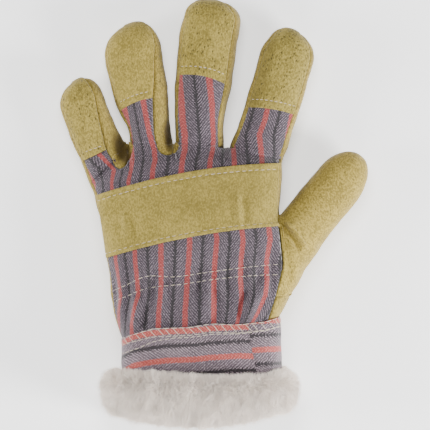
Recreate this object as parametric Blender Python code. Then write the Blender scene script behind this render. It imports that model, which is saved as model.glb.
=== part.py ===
"""Insulated work glove for a left hand, lying palm down: striped canvas back, leather palm,
leather fingertips, thumb and knuckle strap, a canvas cuff, and pile lining turned out at the mouth.

The glove is drawn as one skin, a grid of rows and columns round the hand, the fingers and the thumb.
Each piece is a patch of that skin, given its wall towards the inside of the glove.
X runs towards the thumb, Y towards the fingertips and Z up. Lengths are in metres.
"""

import math
from collections import namedtuple

import bmesh
import bpy
import numpy as np
from mathutils import Vector

# Sizes of the hand
HAND_WIDTH = 0.1187
HAND_LENGTH = 0.1124
PALM_DEPTH = 0.0410
CUFF_LENGTH = 0.0337
CROTCH_HEIGHT = 0.0130

# Walls, with the insulation that is quilted to them, and the gap between neighbours
LEATHER_WALL = 0.0026
CANVAS_WALL = 0.0022
CUFF_WALL = 0.0018
STRAP_WALL = 0.0014
PILE_WALL = 0.0030
SEAM_GAP = 0.0003
CAP_STEP = 0.0005

# How round the sections are: 2 is an ellipse, and more is boxier
PALM_POWER = 2.8
FINGER_POWER = 2.3
CROTCH_POWER = 2.2

# The pile collar
COLLAR_DROP = 0.0300
COLLAR_BULGE = 0.0098
COLLAR_LOCKS = 20
STEPS_PER_LOCK = 4
LOCK_RELIEF = 0.0013

# The thumb
THUMB_LENGTH = 0.0795
THUMB_WIDTH = 0.0325
THUMB_DEPTH = 0.0270
THUMB_LEAN = 37.2

# Folds and gathers: how far they stand out of the skin
FOLD_HEIGHT = 0.0018

# Lines across the hand from the mouth to the knuckles. x is a share of HAND_WIDTH from the middle of the hand,
# y of HAND_LENGTH from the wrist, and seam is where the thumb-side seam of the back lies, from the middle (0)
# to the side (1). rise, top and bottom are shares of PALM_DEPTH: the height of the side seam, and the depths
# above and below it.
Line = namedtuple("Line", "name left_x left_y mid_y right_x right_y seam rise top bottom")
PALM_LINES = [
    Line("mouth", -0.343, 0.022, 0.000, 0.486, 0.017, 0.875, 0.646, 0.450, 0.450),
    Line("wrist", -0.347, -0.062, 0.000, 0.482, 0.056, 0.880, 0.600, 0.463, 0.488),
    Line("heel", -0.390, 0.062, 0.136, 0.548, 0.190, 0.838, 0.537, 0.480, 0.560),
    Line("elastic_low", -0.404, 0.136, 0.243, 0.553, 0.282, 0.888, 0.512, 0.478, 0.545),
    Line("elastic_high", -0.411, 0.209, 0.311, 0.559, 0.367, 0.894, 0.500, 0.482, 0.535),
    Line("back", -0.421, 0.305, 0.412, 0.537, 0.475, 0.917, 0.490, 0.500, 0.525),
    Line("strap_low", -0.435, 0.395, 0.514, 0.508, 0.559, 0.956, 0.480, 0.490, 0.515),
    Line("web", -0.445, 0.475, 0.593, 0.489, 0.633, 0.970, 0.465, 0.475, 0.500),
    Line("strap_high", -0.497, 0.729, 0.859, 0.506, 0.921, 0.960, 0.390, 0.405, 0.420),
]
LINE_AT = {line.name: index for index, line in enumerate(PALM_LINES)}
CROTCH_AT = len(PALM_LINES)

# Where each finger leaves the hand, as shares of HAND_WIDTH and HAND_LENGTH
Root = namedtuple("Root", "left_x left_y right_x right_y")
ROOTS = {
    "little": Root(-0.527, 0.814, -0.326, 1.040),
    "ring": Root(-0.309, 1.044, -0.080, 1.044),
    "middle": Root(-0.066, 1.044, 0.193, 1.018),
    "index": Root(0.220, 1.022, 0.513, 0.955),
}

# Fingers. Each has a straight axis that starts at base_x of HAND_WIDTH and base_y of HAND_LENGTH, near its
# root, and leans lean degrees from +Y towards the thumb. seam_left and seam_right are where the leather ends on
# the back of the finger, from -1 at its left side to 1 at its right. cap_at is where the leather fingertip
# starts and tip_at where the end begins to round off, both as shares of the length, cap_tilt slants the
# fingertip's edge, and tip_power is how square the end is. crotch_laps counts the grid rows of the hand that
# the leather covers past the finger's right side.
Finger = namedtuple(
    "Finger",
    "name base_x base_y length width depth lean seam_left seam_right cap_at cap_tilt tip_at tip_power crotch_laps",
)
FINGERS = [
    Finger("little", -0.425, 0.907, 0.0593, 0.0292, 0.0225, -15.5, -0.90, 0.46, 0.22, 0.050, 0.72, 2.0, 2),
    Finger("ring", -0.189, 1.014, 0.0809, 0.0360, 0.0245, -6.9, -0.93, 0.52, 0.385, 0.045, 0.76, 2.0, 1),
    Finger("middle", 0.067, 1.014, 0.0944, 0.0376, 0.0255, 3.1, -0.90, 0.80, 0.475, -0.020, 0.83, 2.4, 0),
    Finger("index", 0.367, 0.986, 0.0819, 0.0348, 0.0245, 13.4, -0.88, 0.86, 0.325, 0.030, 0.76, 2.0, 0),
]

# Sections up each finger: centre and half are shares of the width, from its straight axis, and rise is the
# height of its side seam as a share of the depth.
Section = namedtuple("Section", "along centre half rise")
SECTIONS = {
    "little": [
        Section(0.25, 0.070, 0.560, 0.580),
        Section(0.50, 0.137, 0.500, 0.590),
        Section(0.75, 0.176, 0.500, 0.560),
        Section(0.90, 0.140, 0.500, 0.535),
        Section(1.00, 0.080, 0.500, 0.510),
    ],
    "ring": [
        Section(0.20, 0.020, 0.380, 0.560),
        Section(0.50, 0.095, 0.482, 0.590),
        Section(0.75, 0.140, 0.506, 0.560),
        Section(0.90, 0.105, 0.506, 0.535),
        Section(1.00, 0.030, 0.506, 0.510),
    ],
    "middle": [
        Section(0.20, 0.045, 0.420, 0.560),
        Section(0.50, 0.012, 0.473, 0.590),
        Section(0.75, -0.035, 0.495, 0.560),
        Section(0.90, -0.074, 0.500, 0.535),
        Section(1.00, -0.020, 0.500, 0.510),
    ],
    "index": [
        Section(0.20, -0.049, 0.488, 0.560),
        Section(0.50, -0.095, 0.497, 0.590),
        Section(0.75, -0.129, 0.494, 0.560),
        Section(0.90, -0.132, 0.494, 0.535),
        Section(1.00, -0.072, 0.494, 0.510),
    ],
}

# Sections up the thumb. Its upper and lower edges are given apart, because they start far from each other:
# along is a share of THUMB_LENGTH, out of THUMB_WIDTH from the axis, rise and depth of THUMB_DEPTH.
ThumbSection = namedtuple("ThumbSection", "upper_along upper_out lower_along lower_out rise depth")
THUMB_SECTIONS = [
    ThumbSection(0.221, 0.550, -0.222, 0.560, 0.760, 0.940),
    ThumbSection(0.258, 0.550, -0.114, 0.535, 0.720, 0.960),
    ThumbSection(0.311, 0.545, -0.008, 0.490, 0.670, 1.000),
    ThumbSection(0.386, 0.535, 0.119, 0.460, 0.620, 1.000),
    ThumbSection(0.491, 0.530, 0.279, 0.455, 0.590, 1.000),
    ThumbSection(0.608, 0.515, 0.460, 0.455, 0.560, 1.000),
    ThumbSection(0.715, 0.500, 0.651, 0.480, 0.530, 0.980),
    ThumbSection(1.000, 0.490, 1.000, 0.500, 0.500, 0.960),
]
THUMB_TIP_AT = 0.68
THUMB_CORNER = 40.0

# Folds on the back, as lines from a start to an end. x and y are shares of HAND_WIDTH and HAND_LENGTH, and
# height is a share of FOLD_HEIGHT, negative for a dent.
Fold = namedtuple("Fold", "name start_x start_y end_x end_y width height")
FOLDS = [
    Fold("elastic_waist", -0.42, 0.17, 0.48, 0.31, 0.010, -0.9),
    Fold("left_gather", -0.26, 0.00, -0.25, 0.16, 0.006, 0.8),
    Fold("right_gather", 0.30, 0.00, 0.40, 0.22, 0.007, 0.9),
    Fold("strap_crease", 0.27, 0.58, 0.29, 0.82, 0.006, 0.6),
    Fold("little_root", -0.50, 0.86, -0.36, 0.82, 0.005, -0.7),
    Fold("thumb_crease", 0.57, 0.60, 0.72, 0.40, 0.006, 1.0),
    Fold("thumb_hollow", 0.60, 0.52, 0.66, 0.42, 0.006, -0.9),
]

# The pile collar's section, going round it: along is up the cuff from the mouth (a share of CUFF_LENGTH) or
# past the mouth (a negative share of COLLAR_DROP), out is from the skin as a share of COLLAR_BULGE, layer counts
# the walls that the point clears, and locks is how much of the lock relief it takes.
CollarPoint = namedtuple("CollarPoint", "along out layer locks")
COLLAR_SECTION = [
    CollarPoint(0.74, 0.00, "inside", 0.0),
    CollarPoint(0.35, 0.00, "inside", 0.0),
    CollarPoint(0.00, 0.00, "inside", 0.0),
    CollarPoint(-0.45, 0.10, "inside", 0.3),
    CollarPoint(-0.85, 0.10, "skin", 0.6),
    CollarPoint(-1.00, 0.55, "skin", 1.0),
    CollarPoint(-0.86, 0.98, "skin", 1.0),
    CollarPoint(-0.60, 1.20, "skin", 1.0),
    CollarPoint(-0.28, 1.25, "skin", 1.0),
    CollarPoint(0.02, 1.15, "skin", 1.0),
    CollarPoint(0.16, 0.80, "skin", 1.0),
    CollarPoint(0.21, 0.00, "outside", 0.0),
    CollarPoint(0.00, 0.00, "outside", 0.0),
    CollarPoint(0.00, 0.00, "skin", 0.0),
    CollarPoint(0.35, 0.00, "skin", 0.0),
    CollarPoint(0.74, 0.00, "skin", 0.0),
]
COLLAR_SAG = 0.25
COLLAR_DROP_LEAN = 0.06
COLLAR_BULGE_LEAN = 0.16

# Grid steps
CANVAS_STEPS = 4
WEB_STEPS = 2
THUMB_ROWS = (0.0, 0.12, 0.24, 0.35, 0.47, 0.60, 0.72, 0.84, 0.93, 0.98, 1.0)
THUMB_ROOT_AT = 0.16
FINGER_ROWS_BELOW_CAP = 3
FINGER_ROWS_ON_CAP = 2
FINGER_ROWS_ROUND_TIP = 3
CUFF_LAP_AT = 0.80
THUMB_LOW_AT = LINE_AT["heel"]
PALM_ROWS = (
    [0.0, 0.42, CUFF_LAP_AT, LINE_AT["wrist"], LINE_AT["wrist"] + 0.4]
    + [LINE_AT[name] for name in ("heel", "elastic_low", "elastic_high", "back", "strap_low", "web")]
    + [LINE_AT["web"] + 0.5, LINE_AT["strap_high"], CROTCH_AT - 0.5, CROTCH_AT - 0.2, CROTCH_AT]
)


def smooth(share):
    """0 to 1 with level ends."""
    share = np.clip(share, 0.0, 1.0)
    return share * share * (3.0 - 2.0 * share)


def mix(start, end, share):
    """From start, at a share of 0, to end, at 1."""
    return start + (end - start) * share


def flow(at, knots, values):
    """A smooth curve through a table's values: cubic pieces that share their slopes at the knots."""
    knots = np.asarray(knots, float)
    values = np.asarray(values, float)
    slopes = np.gradient(values, knots)
    piece = np.clip(np.searchsorted(knots, at, side="right") - 1, 0, len(knots) - 2)
    span = knots[piece + 1] - knots[piece]
    t = (at - knots[piece]) / span
    return (
        (1 + 2 * t) * (1 - t) ** 2 * values[piece]
        + t * (1 - t) ** 2 * span * slopes[piece]
        + t * t * (3 - 2 * t) * values[piece + 1]
        + t * t * (t - 1) * span * slopes[piece + 1]
    )


def column(table, name):
    return [getattr(row, name) for row in table]


def bow(share, power):
    """Height of a rounded section, 1 in the middle and 0 at a share of -1 or 1."""
    return (1.0 - np.clip(np.abs(share), 0.0, 1.0) ** power) ** (1.0 / power)


def finger_columns(finger):
    """Places across a finger, from its left side (-1) to its right (1), with the two seams among them."""
    left_angle = math.acos(-finger.seam_left)
    right_angle = math.acos(-finger.seam_right)
    on_canvas = np.linspace(left_angle, right_angle, CANVAS_STEPS + 1)
    angles = [0.0, *on_canvas, (right_angle + math.pi) / 2, math.pi]
    return -np.cos(angles)


def root_points(finger):
    """Left and right ends of the line where a finger leaves the hand, in plan."""
    root = ROOTS[finger.name]
    left = np.array([root.left_x * HAND_WIDTH, root.left_y * HAND_LENGTH])
    right = np.array([root.right_x * HAND_WIDTH, root.right_y * HAND_LENGTH])
    return left, right


def crotch_line():
    """Plan points along the line of finger roots, each with its place across its finger, and its finger by
    number. A point on the web between two fingers has the place 1 and a number half way between theirs."""
    points, places, owners = [], [], []
    for index, finger in enumerate(FINGERS):
        left, right = root_points(finger)
        if index:
            last_right = root_points(FINGERS[index - 1])[1]
            for step in range(1, WEB_STEPS):
                points.append(last_right + (left - last_right) * step / WEB_STEPS)
                places.append(1.0)
                owners.append(index - 0.5)
        for place in finger_columns(finger):
            points.append(left + (right - left) * (place + 1) / 2)
            places.append(place)
            owners.append(index)
    return np.array(points), np.array(places), np.array(owners)


def line_values(at):
    """The hand's line at a row number, each of its columns run smoothly between the lines in the table."""
    rows = np.arange(len(PALM_LINES))
    return {name: flow(at, rows, column(PALM_LINES, name)) for name in Line._fields[1:]}


def line_points(at, across):
    """Plan points of the hand's line at a row number, for places from -1 (little finger's side) to 1."""
    value = line_values(at)
    x = mix(value["left_x"], value["right_x"], (across + 1) / 2)
    lean = (value["right_y"] - value["left_y"]) / 2
    sag = (value["right_y"] + value["left_y"]) / 2 - value["mid_y"]
    y = value["mid_y"] + lean * across + sag * across**2
    cuff = CUFF_LENGTH * np.clip(LINE_AT["wrist"] - at, 0.0, 1.0)
    return np.column_stack([x * HAND_WIDTH, y * HAND_LENGTH - cuff])


def palm_grid():
    """Top and bottom of the hand as two grids of points with the same outline."""
    crotch, place, owner = crotch_line()
    base_across = 2 * (crotch[:, 0] - crotch[0, 0]) / (crotch[-1, 0] - crotch[0, 0]) - 1
    seam_column = len(base_across) - 3
    depths = np.interp(owner, range(len(FINGERS)), [finger.depth for finger in FINGERS])
    finger_shape = bow(place, FINGER_POWER)
    middle = base_across[seam_column - CANVAS_STEPS // 2]
    top, bottom = [], []
    for at in PALM_ROWS:
        line_at = min(at, LINE_AT["strap_high"])
        blend = at - line_at
        value = line_values(line_at)
        seam = mix(value["seam"], base_across[seam_column], blend)
        across = np.interp(base_across, [-1, middle, base_across[seam_column], 1], [-1, middle, seam, 1])
        plan = mix(line_points(line_at, across), crotch, blend)
        shape = mix(bow(across, PALM_POWER), finger_shape, 1 - bow(blend, CROTCH_POWER))
        rise = mix(value["rise"] * PALM_DEPTH, CROTCH_HEIGHT, smooth(blend))
        above = mix(value["top"] * PALM_DEPTH, depths / 2, smooth(blend))
        below = mix(value["bottom"] * PALM_DEPTH, depths / 2, smooth(blend))
        top.append(np.column_stack([plan, rise + above * shape]))
        bottom.append(np.column_stack([plan, rise - below * shape]))
    return np.array(top), np.array(bottom)


def round_off(along, start, power):
    """1 up to where a tip starts, then round down to 0 at the end."""
    return bow(np.clip((along - start) / (1 - start), 0.0, 1.0), power)


def tip_rows(start, count):
    """Row places from where a tip starts to its end, closer together towards the end."""
    angles = np.linspace(0.0, math.pi / 2, count + 1)[1:]
    return list(start + (1 - start) * np.sin(angles))


def finger_rows(finger):
    below = np.linspace(0.0, finger.cap_at, FINGER_ROWS_BELOW_CAP + 1)
    above = np.linspace(finger.cap_at, finger.tip_at, FINGER_ROWS_ON_CAP + 1)[1:]
    return [*below, *above, *tip_rows(finger.tip_at, FINGER_ROWS_ROUND_TIP)]


def finger_grid(finger):
    """Back and front of a finger as two grids of points with the same outline, from its root to its tip."""
    left, right = root_points(finger)
    base = np.array([finger.base_x * HAND_WIDTH, finger.base_y * HAND_LENGTH])
    lean = math.radians(finger.lean)
    axis = np.array([math.sin(lean), math.cos(lean)])
    side = np.array([-math.cos(lean), math.sin(lean)])
    sections = SECTIONS[finger.name]
    knots = [0.0, *column(sections, "along")]
    place = finger_columns(finger)
    height = bow(place, FINGER_POWER)
    root_half = np.linalg.norm(right - left) / 2
    root_plan = left + np.outer((place + 1) / 2, right - left)
    root_shift = root_plan - base + np.outer(place * root_half, side)
    top, bottom = [], []
    for at in finger_rows(finger):
        tilt = finger.cap_tilt * place * bow((at - finger.cap_at) / finger.cap_at, 2.0)
        tilt = tilt * (at > 0) * (at < finger.tip_at)
        along = at + tilt
        round_in = round_off(at, finger.tip_at, finger.tip_power)
        centre = flow(at, knots, [0.0, *column(sections, "centre")]) * finger.width
        half = flow(at, knots, [root_half / finger.width, *column(sections, "half")]) * finger.width
        rise_base = CROTCH_HEIGHT / finger.depth
        rise = flow(at, knots, [rise_base, *column(sections, "rise")]) * finger.depth
        across = centre - place * half * round_in
        plan = base + np.outer(along, axis) * finger.length + np.outer(across, side)
        plan = plan + root_shift * (1 - smooth(at / sections[0].along / 1.8))
        depth = finger.depth / 2 * height * round_in
        top.append(np.column_stack([plan, rise + depth]))
        bottom.append(np.column_stack([plan, rise - depth]))
    return np.array(top), np.array(bottom)


def thumb_loops(hole):
    """Loops up the thumb, from the hole in the side of the hand that it is sewn into, to its tip.

    hole is the loop of points round the hole, and each comes with its angle round the thumb."""
    points, angles = hole
    upper, lower = points[0, :2], points[len(points) // 2, :2]
    base = (upper + lower) / 2
    lean = math.radians(THUMB_LEAN)
    axis = np.array([math.sin(lean), math.cos(lean)])
    side = np.array([-math.cos(lean), math.sin(lean)])
    knots = np.linspace(0.0, 1.0, len(THUMB_SECTIONS))
    wide = np.sign(np.cos(angles)) * np.abs(np.cos(angles)) ** (2 / FINGER_POWER)
    high = np.sign(np.sin(angles)) * np.abs(np.sin(angles)) ** (2 / FINGER_POWER)
    loops = [points]
    for at in THUMB_ROWS[1:]:
        value = {name: flow(at, knots, column(THUMB_SECTIONS, name)) for name in ThumbSection._fields}
        along = (value["upper_along"] + value["lower_along"]) / 2
        round_in = round_off(along, THUMB_TIP_AT, 2.1)
        centre = (value["upper_out"] - value["lower_out"]) / 2 * THUMB_WIDTH
        half = (value["upper_out"] + value["lower_out"]) / 2 * THUMB_WIDTH * round_in
        reach = (value["upper_along"] - value["lower_along"]) / 2
        along_each = (along + reach * wide) * THUMB_LENGTH
        plan = base + np.outer(along_each, axis) + np.outer(centre + wide * half, side)
        depth = value["depth"] * THUMB_DEPTH / 2 * round_in
        loop = np.column_stack([plan, value["rise"] * THUMB_DEPTH + depth * high])
        keep = max(0.0, 1 - at / THUMB_ROOT_AT)
        loops.append(points * keep + loop * (1 - keep))
    return np.array(loops)


def thumb_hole(top, bottom):
    """The loop round the hole for the thumb, which starts at its finger end on the side seam and goes over the
    top, with the angle that each point has round the thumb."""
    first = PALM_ROWS.index(LINE_AT["web"])
    last = PALM_ROWS.index(THUMB_LOW_AT)
    seam = top.shape[1] - 3
    rows = range(first - 1, last, -1)
    corner = math.radians(THUMB_CORNER)
    points = [top[first, -1], top[first, -2], top[first, seam]]
    points += [top[row, seam] for row in rows]
    points += [top[last, seam], top[last, -2], top[last, -1]]
    points += [bottom[last, -2], bottom[last, seam]]
    points += [bottom[row, seam] for row in reversed(rows)]
    points += [bottom[first, seam], bottom[first, -2]]
    steps = len(rows) + 1
    over = np.linspace(corner, math.pi - corner, steps + 1)
    angles = [0.0, corner / 2, *over, math.pi - corner / 2, math.pi, math.pi + corner / 2]
    angles += [*(over + math.pi), 2 * math.pi - corner / 2]
    return np.array(points), np.array(angles)


def fold_relief(points):
    """How far the folds push the back of the glove out at each point."""
    relief = np.zeros(len(points))
    for fold in FOLDS:
        start = np.array([fold.start_x * HAND_WIDTH, fold.start_y * HAND_LENGTH])
        run = np.array([fold.end_x * HAND_WIDTH, fold.end_y * HAND_LENGTH]) - start
        share = np.clip((points[:, :2] - start) @ run / (run @ run), 0.0, 1.0)
        away = np.linalg.norm(points[:, :2] - start - np.outer(share, run), axis=1)
        relief += fold.height * FOLD_HEIGHT * np.exp(-((away / fold.width) ** 2))
    return relief


def point_normals(points, faces):
    """The normal at each point, the mean of the faces round it."""
    normals = np.zeros_like(points)
    for face in faces:
        ring = points[face]
        centre = ring.mean(axis=0)
        turned = np.cross(ring - centre, np.roll(ring, -1, axis=0) - centre).sum(axis=0)
        normals[face] += turned / np.linalg.norm(turned)
    lengths = np.linalg.norm(normals, axis=1)
    return normals / np.maximum(lengths, 1e-12)[:, None]


class Skin:
    """The glove's outer surface as quads, each with the names of the pieces that it belongs to."""

    def __init__(self):
        self.corners = []
        self.pieces = []

    def add(self, grid, names, turn=False):
        """Adds a grid of points. names(row, column) gives the pieces of the quad above and right of a point,
        or an empty tuple where the skin is open."""
        for row in range(grid.shape[0] - 1):
            for col in range(grid.shape[1] - 1):
                owners = names(row, col)
                if not owners:
                    continue
                quad = [grid[row, col], grid[row, col + 1], grid[row + 1, col + 1], grid[row + 1, col]]
                self.corners.append(quad[::-1] if turn else quad)
                self.pieces.append(owners)

    def weld(self):
        """Points, faces with their doubled corners dropped, and a normal for each point."""
        flat = np.array(self.corners).reshape(-1, 3)
        _, first, index = np.unique(np.round(flat, 6), axis=0, return_index=True, return_inverse=True)
        self.points = flat[first]
        faces = index.reshape(-1, 4)
        self.faces = [list(dict.fromkeys(face.tolist())) for face in faces]
        self.normals = point_normals(self.points, self.faces)

    def fold(self):
        """Raises the folds on the upper side, and flattens what would reach through the table."""
        upper = np.clip(self.normals[:, 2], 0.0, 1.0)
        self.points += self.normals * (fold_relief(self.points) * upper)[:, None]
        self.points[:, 2] = np.maximum(self.points[:, 2], 0.0)
        self.normals = point_normals(self.points, self.faces)


def material(name, colour, roughness):
    made = bpy.data.materials.new(name)
    made.use_nodes = True
    shader = made.node_tree.nodes["Principled BSDF"]
    shader.inputs["Base Color"].default_value = (*colour, 1.0)
    shader.inputs["Roughness"].default_value = roughness
    shader.inputs["Metallic"].default_value = 0.0
    made.diffuse_color = (*colour, 1.0)
    return made


def add_object(name, bm, paint):
    mesh = bpy.data.meshes.new(name)
    bmesh.ops.triangulate(bm, faces=bm.faces)
    bmesh.ops.recalc_face_normals(bm, faces=bm.faces)
    bm.to_mesh(mesh)
    bm.free()
    mesh.materials.append(paint)
    mesh.shade_smooth()
    mesh.set_sharp_from_angle(angle=math.radians(50))
    made = bpy.data.objects.new(name, mesh)
    bpy.context.scene.collection.objects.link(made)
    return made


def rim_edges(faces):
    """The edges that only one face uses, each with that face."""
    edges = {}
    for face in faces:
        for edge in zip(face, face[1:] + face[:1]):
            edges[edge] = face
    return {(a, b): face for (a, b), face in edges.items() if (b, a) not in edges}


def seam_shift(points, faces):
    """Moves the points on a patch's edge into the patch by half the gap to its neighbour."""
    inward = {}
    for (a, b), face in rim_edges(faces).items():
        ring = points[face]
        normal = np.cross(ring[1] - ring[0], ring[2] - ring[0])
        along = points[b] - points[a]
        into = np.cross(normal, along)
        into /= np.linalg.norm(into)
        inward.setdefault(a, []).append(into)
        inward.setdefault(b, []).append(into)
    moved = points.copy()
    for index, ways in inward.items():
        shift = np.sum(ways, axis=0)
        if len(ways) == 2:
            shift = shift / (1 + ways[0] @ ways[1])
        moved[index] += shift * SEAM_GAP / 2
    return moved


def panel(skin, name, paint, wall, lift=0.0, step=0.0):
    """A patch of the skin with its wall. lift moves the whole wall out of the skin, over what lies below it,
    and step raises its outer face alone."""
    faces = [face for face, owners in zip(skin.faces, skin.pieces) if name in owners and len(face) > 2]
    points = seam_shift(skin.points, faces)
    normals = point_normals(skin.points, faces) if lift else skin.normals
    outer = points + normals * (lift + step)
    if lift:
        outer = outer + normals * wall
        inner = points + normals * lift
    else:
        inner = points - normals * wall
    bm = bmesh.new()
    used = sorted({index for face in faces for index in face})
    out = {index: bm.verts.new(outer[index]) for index in used}
    back = {index: bm.verts.new(inner[index]) for index in used}
    for face in faces:
        bm.faces.new([out[index] for index in face])
        bm.faces.new([back[index] for index in reversed(face)])
    for a, b in rim_edges(faces):
        bm.faces.new([out[b], out[a], back[a], back[b]])
    return add_object(name, bm, paint)


def loop_share(points):
    """How far round a closed loop each of its points lies, from 0 to 1 with the first point again at 1."""
    steps = np.linalg.norm(np.diff(points, axis=0, append=points[:1]), axis=1)
    return np.append(0.0, np.cumsum(steps)) / steps.sum()


def collar(top, bottom, paint):
    """The pile lining: a sleeve inside the cuff that turns out round its edge into a thick woolly collar."""
    even = np.linspace(0, 1, COLLAR_LOCKS * STEPS_PER_LOCK, endpoint=False)
    loops = [np.vstack([top[row], bottom[row][-2:0:-1]]) for row in range(len(PALM_ROWS))]
    share = loop_share(loops[0])

    def loop_at(up):
        """The hand's outline at a row number, in even steps round it."""
        row = min(np.searchsorted(PALM_ROWS, up, side="right"), len(PALM_ROWS) - 1)
        blend = (up - PALM_ROWS[row - 1]) / (PALM_ROWS[row] - PALM_ROWS[row - 1])
        loop = loops[row - 1] * (1 - blend) + loops[row] * blend
        return np.column_stack([np.interp(even, share, np.append(axis, axis[0])) for axis in loop.T])

    mouth = loop_at(0.0)
    around = np.roll(mouth, -1, axis=0) - np.roll(mouth, 1, axis=0)
    outward = np.column_stack([-around[:, 2], np.zeros(len(mouth)), around[:, 0]])
    outward /= np.linalg.norm(outward, axis=1)[:, None]
    centre_x = (mouth[:, 0].max() + mouth[:, 0].min()) / 2
    half_x = (mouth[:, 0].max() - mouth[:, 0].min()) / 2
    across = (mouth[:, 0] - centre_x) / half_x
    sag = 1 - COLLAR_SAG * across**2 - COLLAR_DROP_LEAN * across
    bulge = COLLAR_BULGE * (1 - COLLAR_BULGE_LEAN * across)
    phase = 2 * math.pi * COLLAR_LOCKS * even
    clear = {"inside": -PILE_WALL, "skin": 0.0, "outside": CUFF_WALL + 3 * SEAM_GAP}
    rings = []
    for index, point in enumerate(COLLAR_SECTION):
        drop = np.where(point.along < 0, -point.along * COLLAR_DROP * sag, 0.0)
        past = SEAM_GAP if 12 <= index <= 13 else 0.0
        ring = loop_at(max(point.along, 0.0))
        ring = ring - np.outer(drop + past, [0.0, 1.0, 0.0])
        relief = point.locks * LOCK_RELIEF * np.cos(phase + index // 2 * math.pi)
        ring = ring + outward * (clear[point.layer] + point.out * bulge + relief)[:, None]
        ring[:, 2] = np.maximum(ring[:, 2], 0.0)
        rings.append(ring)
    bm = bmesh.new()
    verts = [[bm.verts.new(point) for point in ring] for ring in rings]
    count = len(mouth)
    for row in range(len(rings)):
        after = (row + 1) % len(rings)
        for col in range(count):
            right = (col + 1) % count
            bm.faces.new([verts[row][col], verts[row][right], verts[after][right], verts[after][col]])
    return add_object("pile_lining", bm, paint)


def crotch_laps():
    """For each step across the hand, how many grid rows of its back the leather covers below the crotch."""
    _, place, owner = crotch_line()
    laps = []
    for at, number in zip(place[:-1], owner[:-1]):
        finger = FINGERS[int(number)]
        if at > finger.seam_right - 1e-6:
            laps.append(finger.crotch_laps)
        elif at == -1 and number:
            laps.append(FINGERS[int(number) - 1].crotch_laps)
        else:
            laps.append(0)
    return laps


def build_skin():
    """The whole skin with its pieces marked, and the hand's two grids."""
    top, bottom = palm_grid()
    skin = Skin()
    laps = crotch_laps()
    seam_left = 1
    seam_right = top.shape[1] - 3
    lap = PALM_ROWS.index(CUFF_LAP_AT)
    wrist = PALM_ROWS.index(LINE_AT["wrist"])
    strap = range(PALM_ROWS.index(LINE_AT["strap_low"]), PALM_ROWS.index(LINE_AT["strap_high"]))
    thumb_rows = range(PALM_ROWS.index(THUMB_LOW_AT), PALM_ROWS.index(LINE_AT["web"]))
    crotch = len(PALM_ROWS) - 1

    def names_at(row, col, hand_piece):
        """The pieces of a step of the hand: the cuff laps over the panels of the hand."""
        if row in thumb_rows and col >= seam_right:
            return ()
        names = ("cuff",) if row < wrist else ()
        return (*names, hand_piece) if row >= lap else names

    def top_names(row, col):
        on_leather = col < seam_left or col >= seam_right or row >= crotch - laps[col]
        if on_leather:
            return names_at(row, col, "palm_leather")
        names = names_at(row, col, "back_canvas")
        return (*names, "knuckle_strap") if row in strap else names

    def bottom_names(row, col):
        return names_at(row, col, "palm_leather")

    skin.add(top, top_names)
    skin.add(bottom, bottom_names, turn=True)
    for finger in FINGERS:
        back, front = finger_grid(finger)
        right = back.shape[1] - 3
        cap = FINGER_ROWS_BELOW_CAP

        def back_names(row, col, cap=cap, right=right, name=finger.name):
            if col < 1 or col >= right:
                return ("palm_leather",)
            return (f"fingertip_{name}",) if row >= cap else ("back_canvas",)

        skin.add(back, back_names)
        skin.add(front, lambda row, col: ("palm_leather",), turn=True)
    loops = thumb_loops(thumb_hole(top, bottom))
    closed = np.concatenate([loops, loops[:, :1]], axis=1)
    skin.add(closed, lambda row, col: ("thumb",))
    skin.weld()
    skin.fold()
    return skin, top, bottom


def rest_on_origin(objects):
    """Moves the glove so that the middle of its box is over the origin and its lowest point at 0."""
    points = np.array([vert.co for made in objects for vert in made.data.vertices])
    low, high = points.min(axis=0), points.max(axis=0)
    shift = Vector((-(low[0] + high[0]) / 2, -(low[1] + high[1]) / 2, -low[2]))
    for made in objects:
        for vert in made.data.vertices:
            vert.co += shift


def main():
    for old in list(bpy.data.objects):
        bpy.data.objects.remove(old)
    leather = material("grain_leather", (0.62, 0.52, 0.27), 0.85)
    strap_leather = material("strap_leather", (0.60, 0.52, 0.28), 0.90)
    canvas = material("striped_canvas", (0.30, 0.27, 0.33), 0.95)
    cuff_canvas = material("cuff_canvas", (0.33, 0.28, 0.34), 0.95)
    pile = material("white_pile", (0.80, 0.77, 0.75), 1.0)
    skin, top, bottom = build_skin()
    objects = [
        panel(skin, "back_canvas", canvas, CANVAS_WALL),
        panel(skin, "palm_leather", leather, LEATHER_WALL),
        panel(skin, "thumb", leather, LEATHER_WALL),
        panel(skin, "knuckle_strap", strap_leather, STRAP_WALL, lift=SEAM_GAP),
        panel(skin, "cuff", cuff_canvas, CUFF_WALL, lift=SEAM_GAP),
        collar(top, bottom, pile),
    ]
    for finger in FINGERS:
        name = f"fingertip_{finger.name}"
        objects.append(panel(skin, name, leather, LEATHER_WALL, step=CAP_STEP))
    rest_on_origin(objects)


main()
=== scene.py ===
"""Looks of an insulated work glove for the left hand, lying palm down: striped herringbone canvas back,
pigskin palm, fingertips, thumb and knuckle strap, a canvas cuff, and pile lining turned out at the mouth."""

import math

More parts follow.
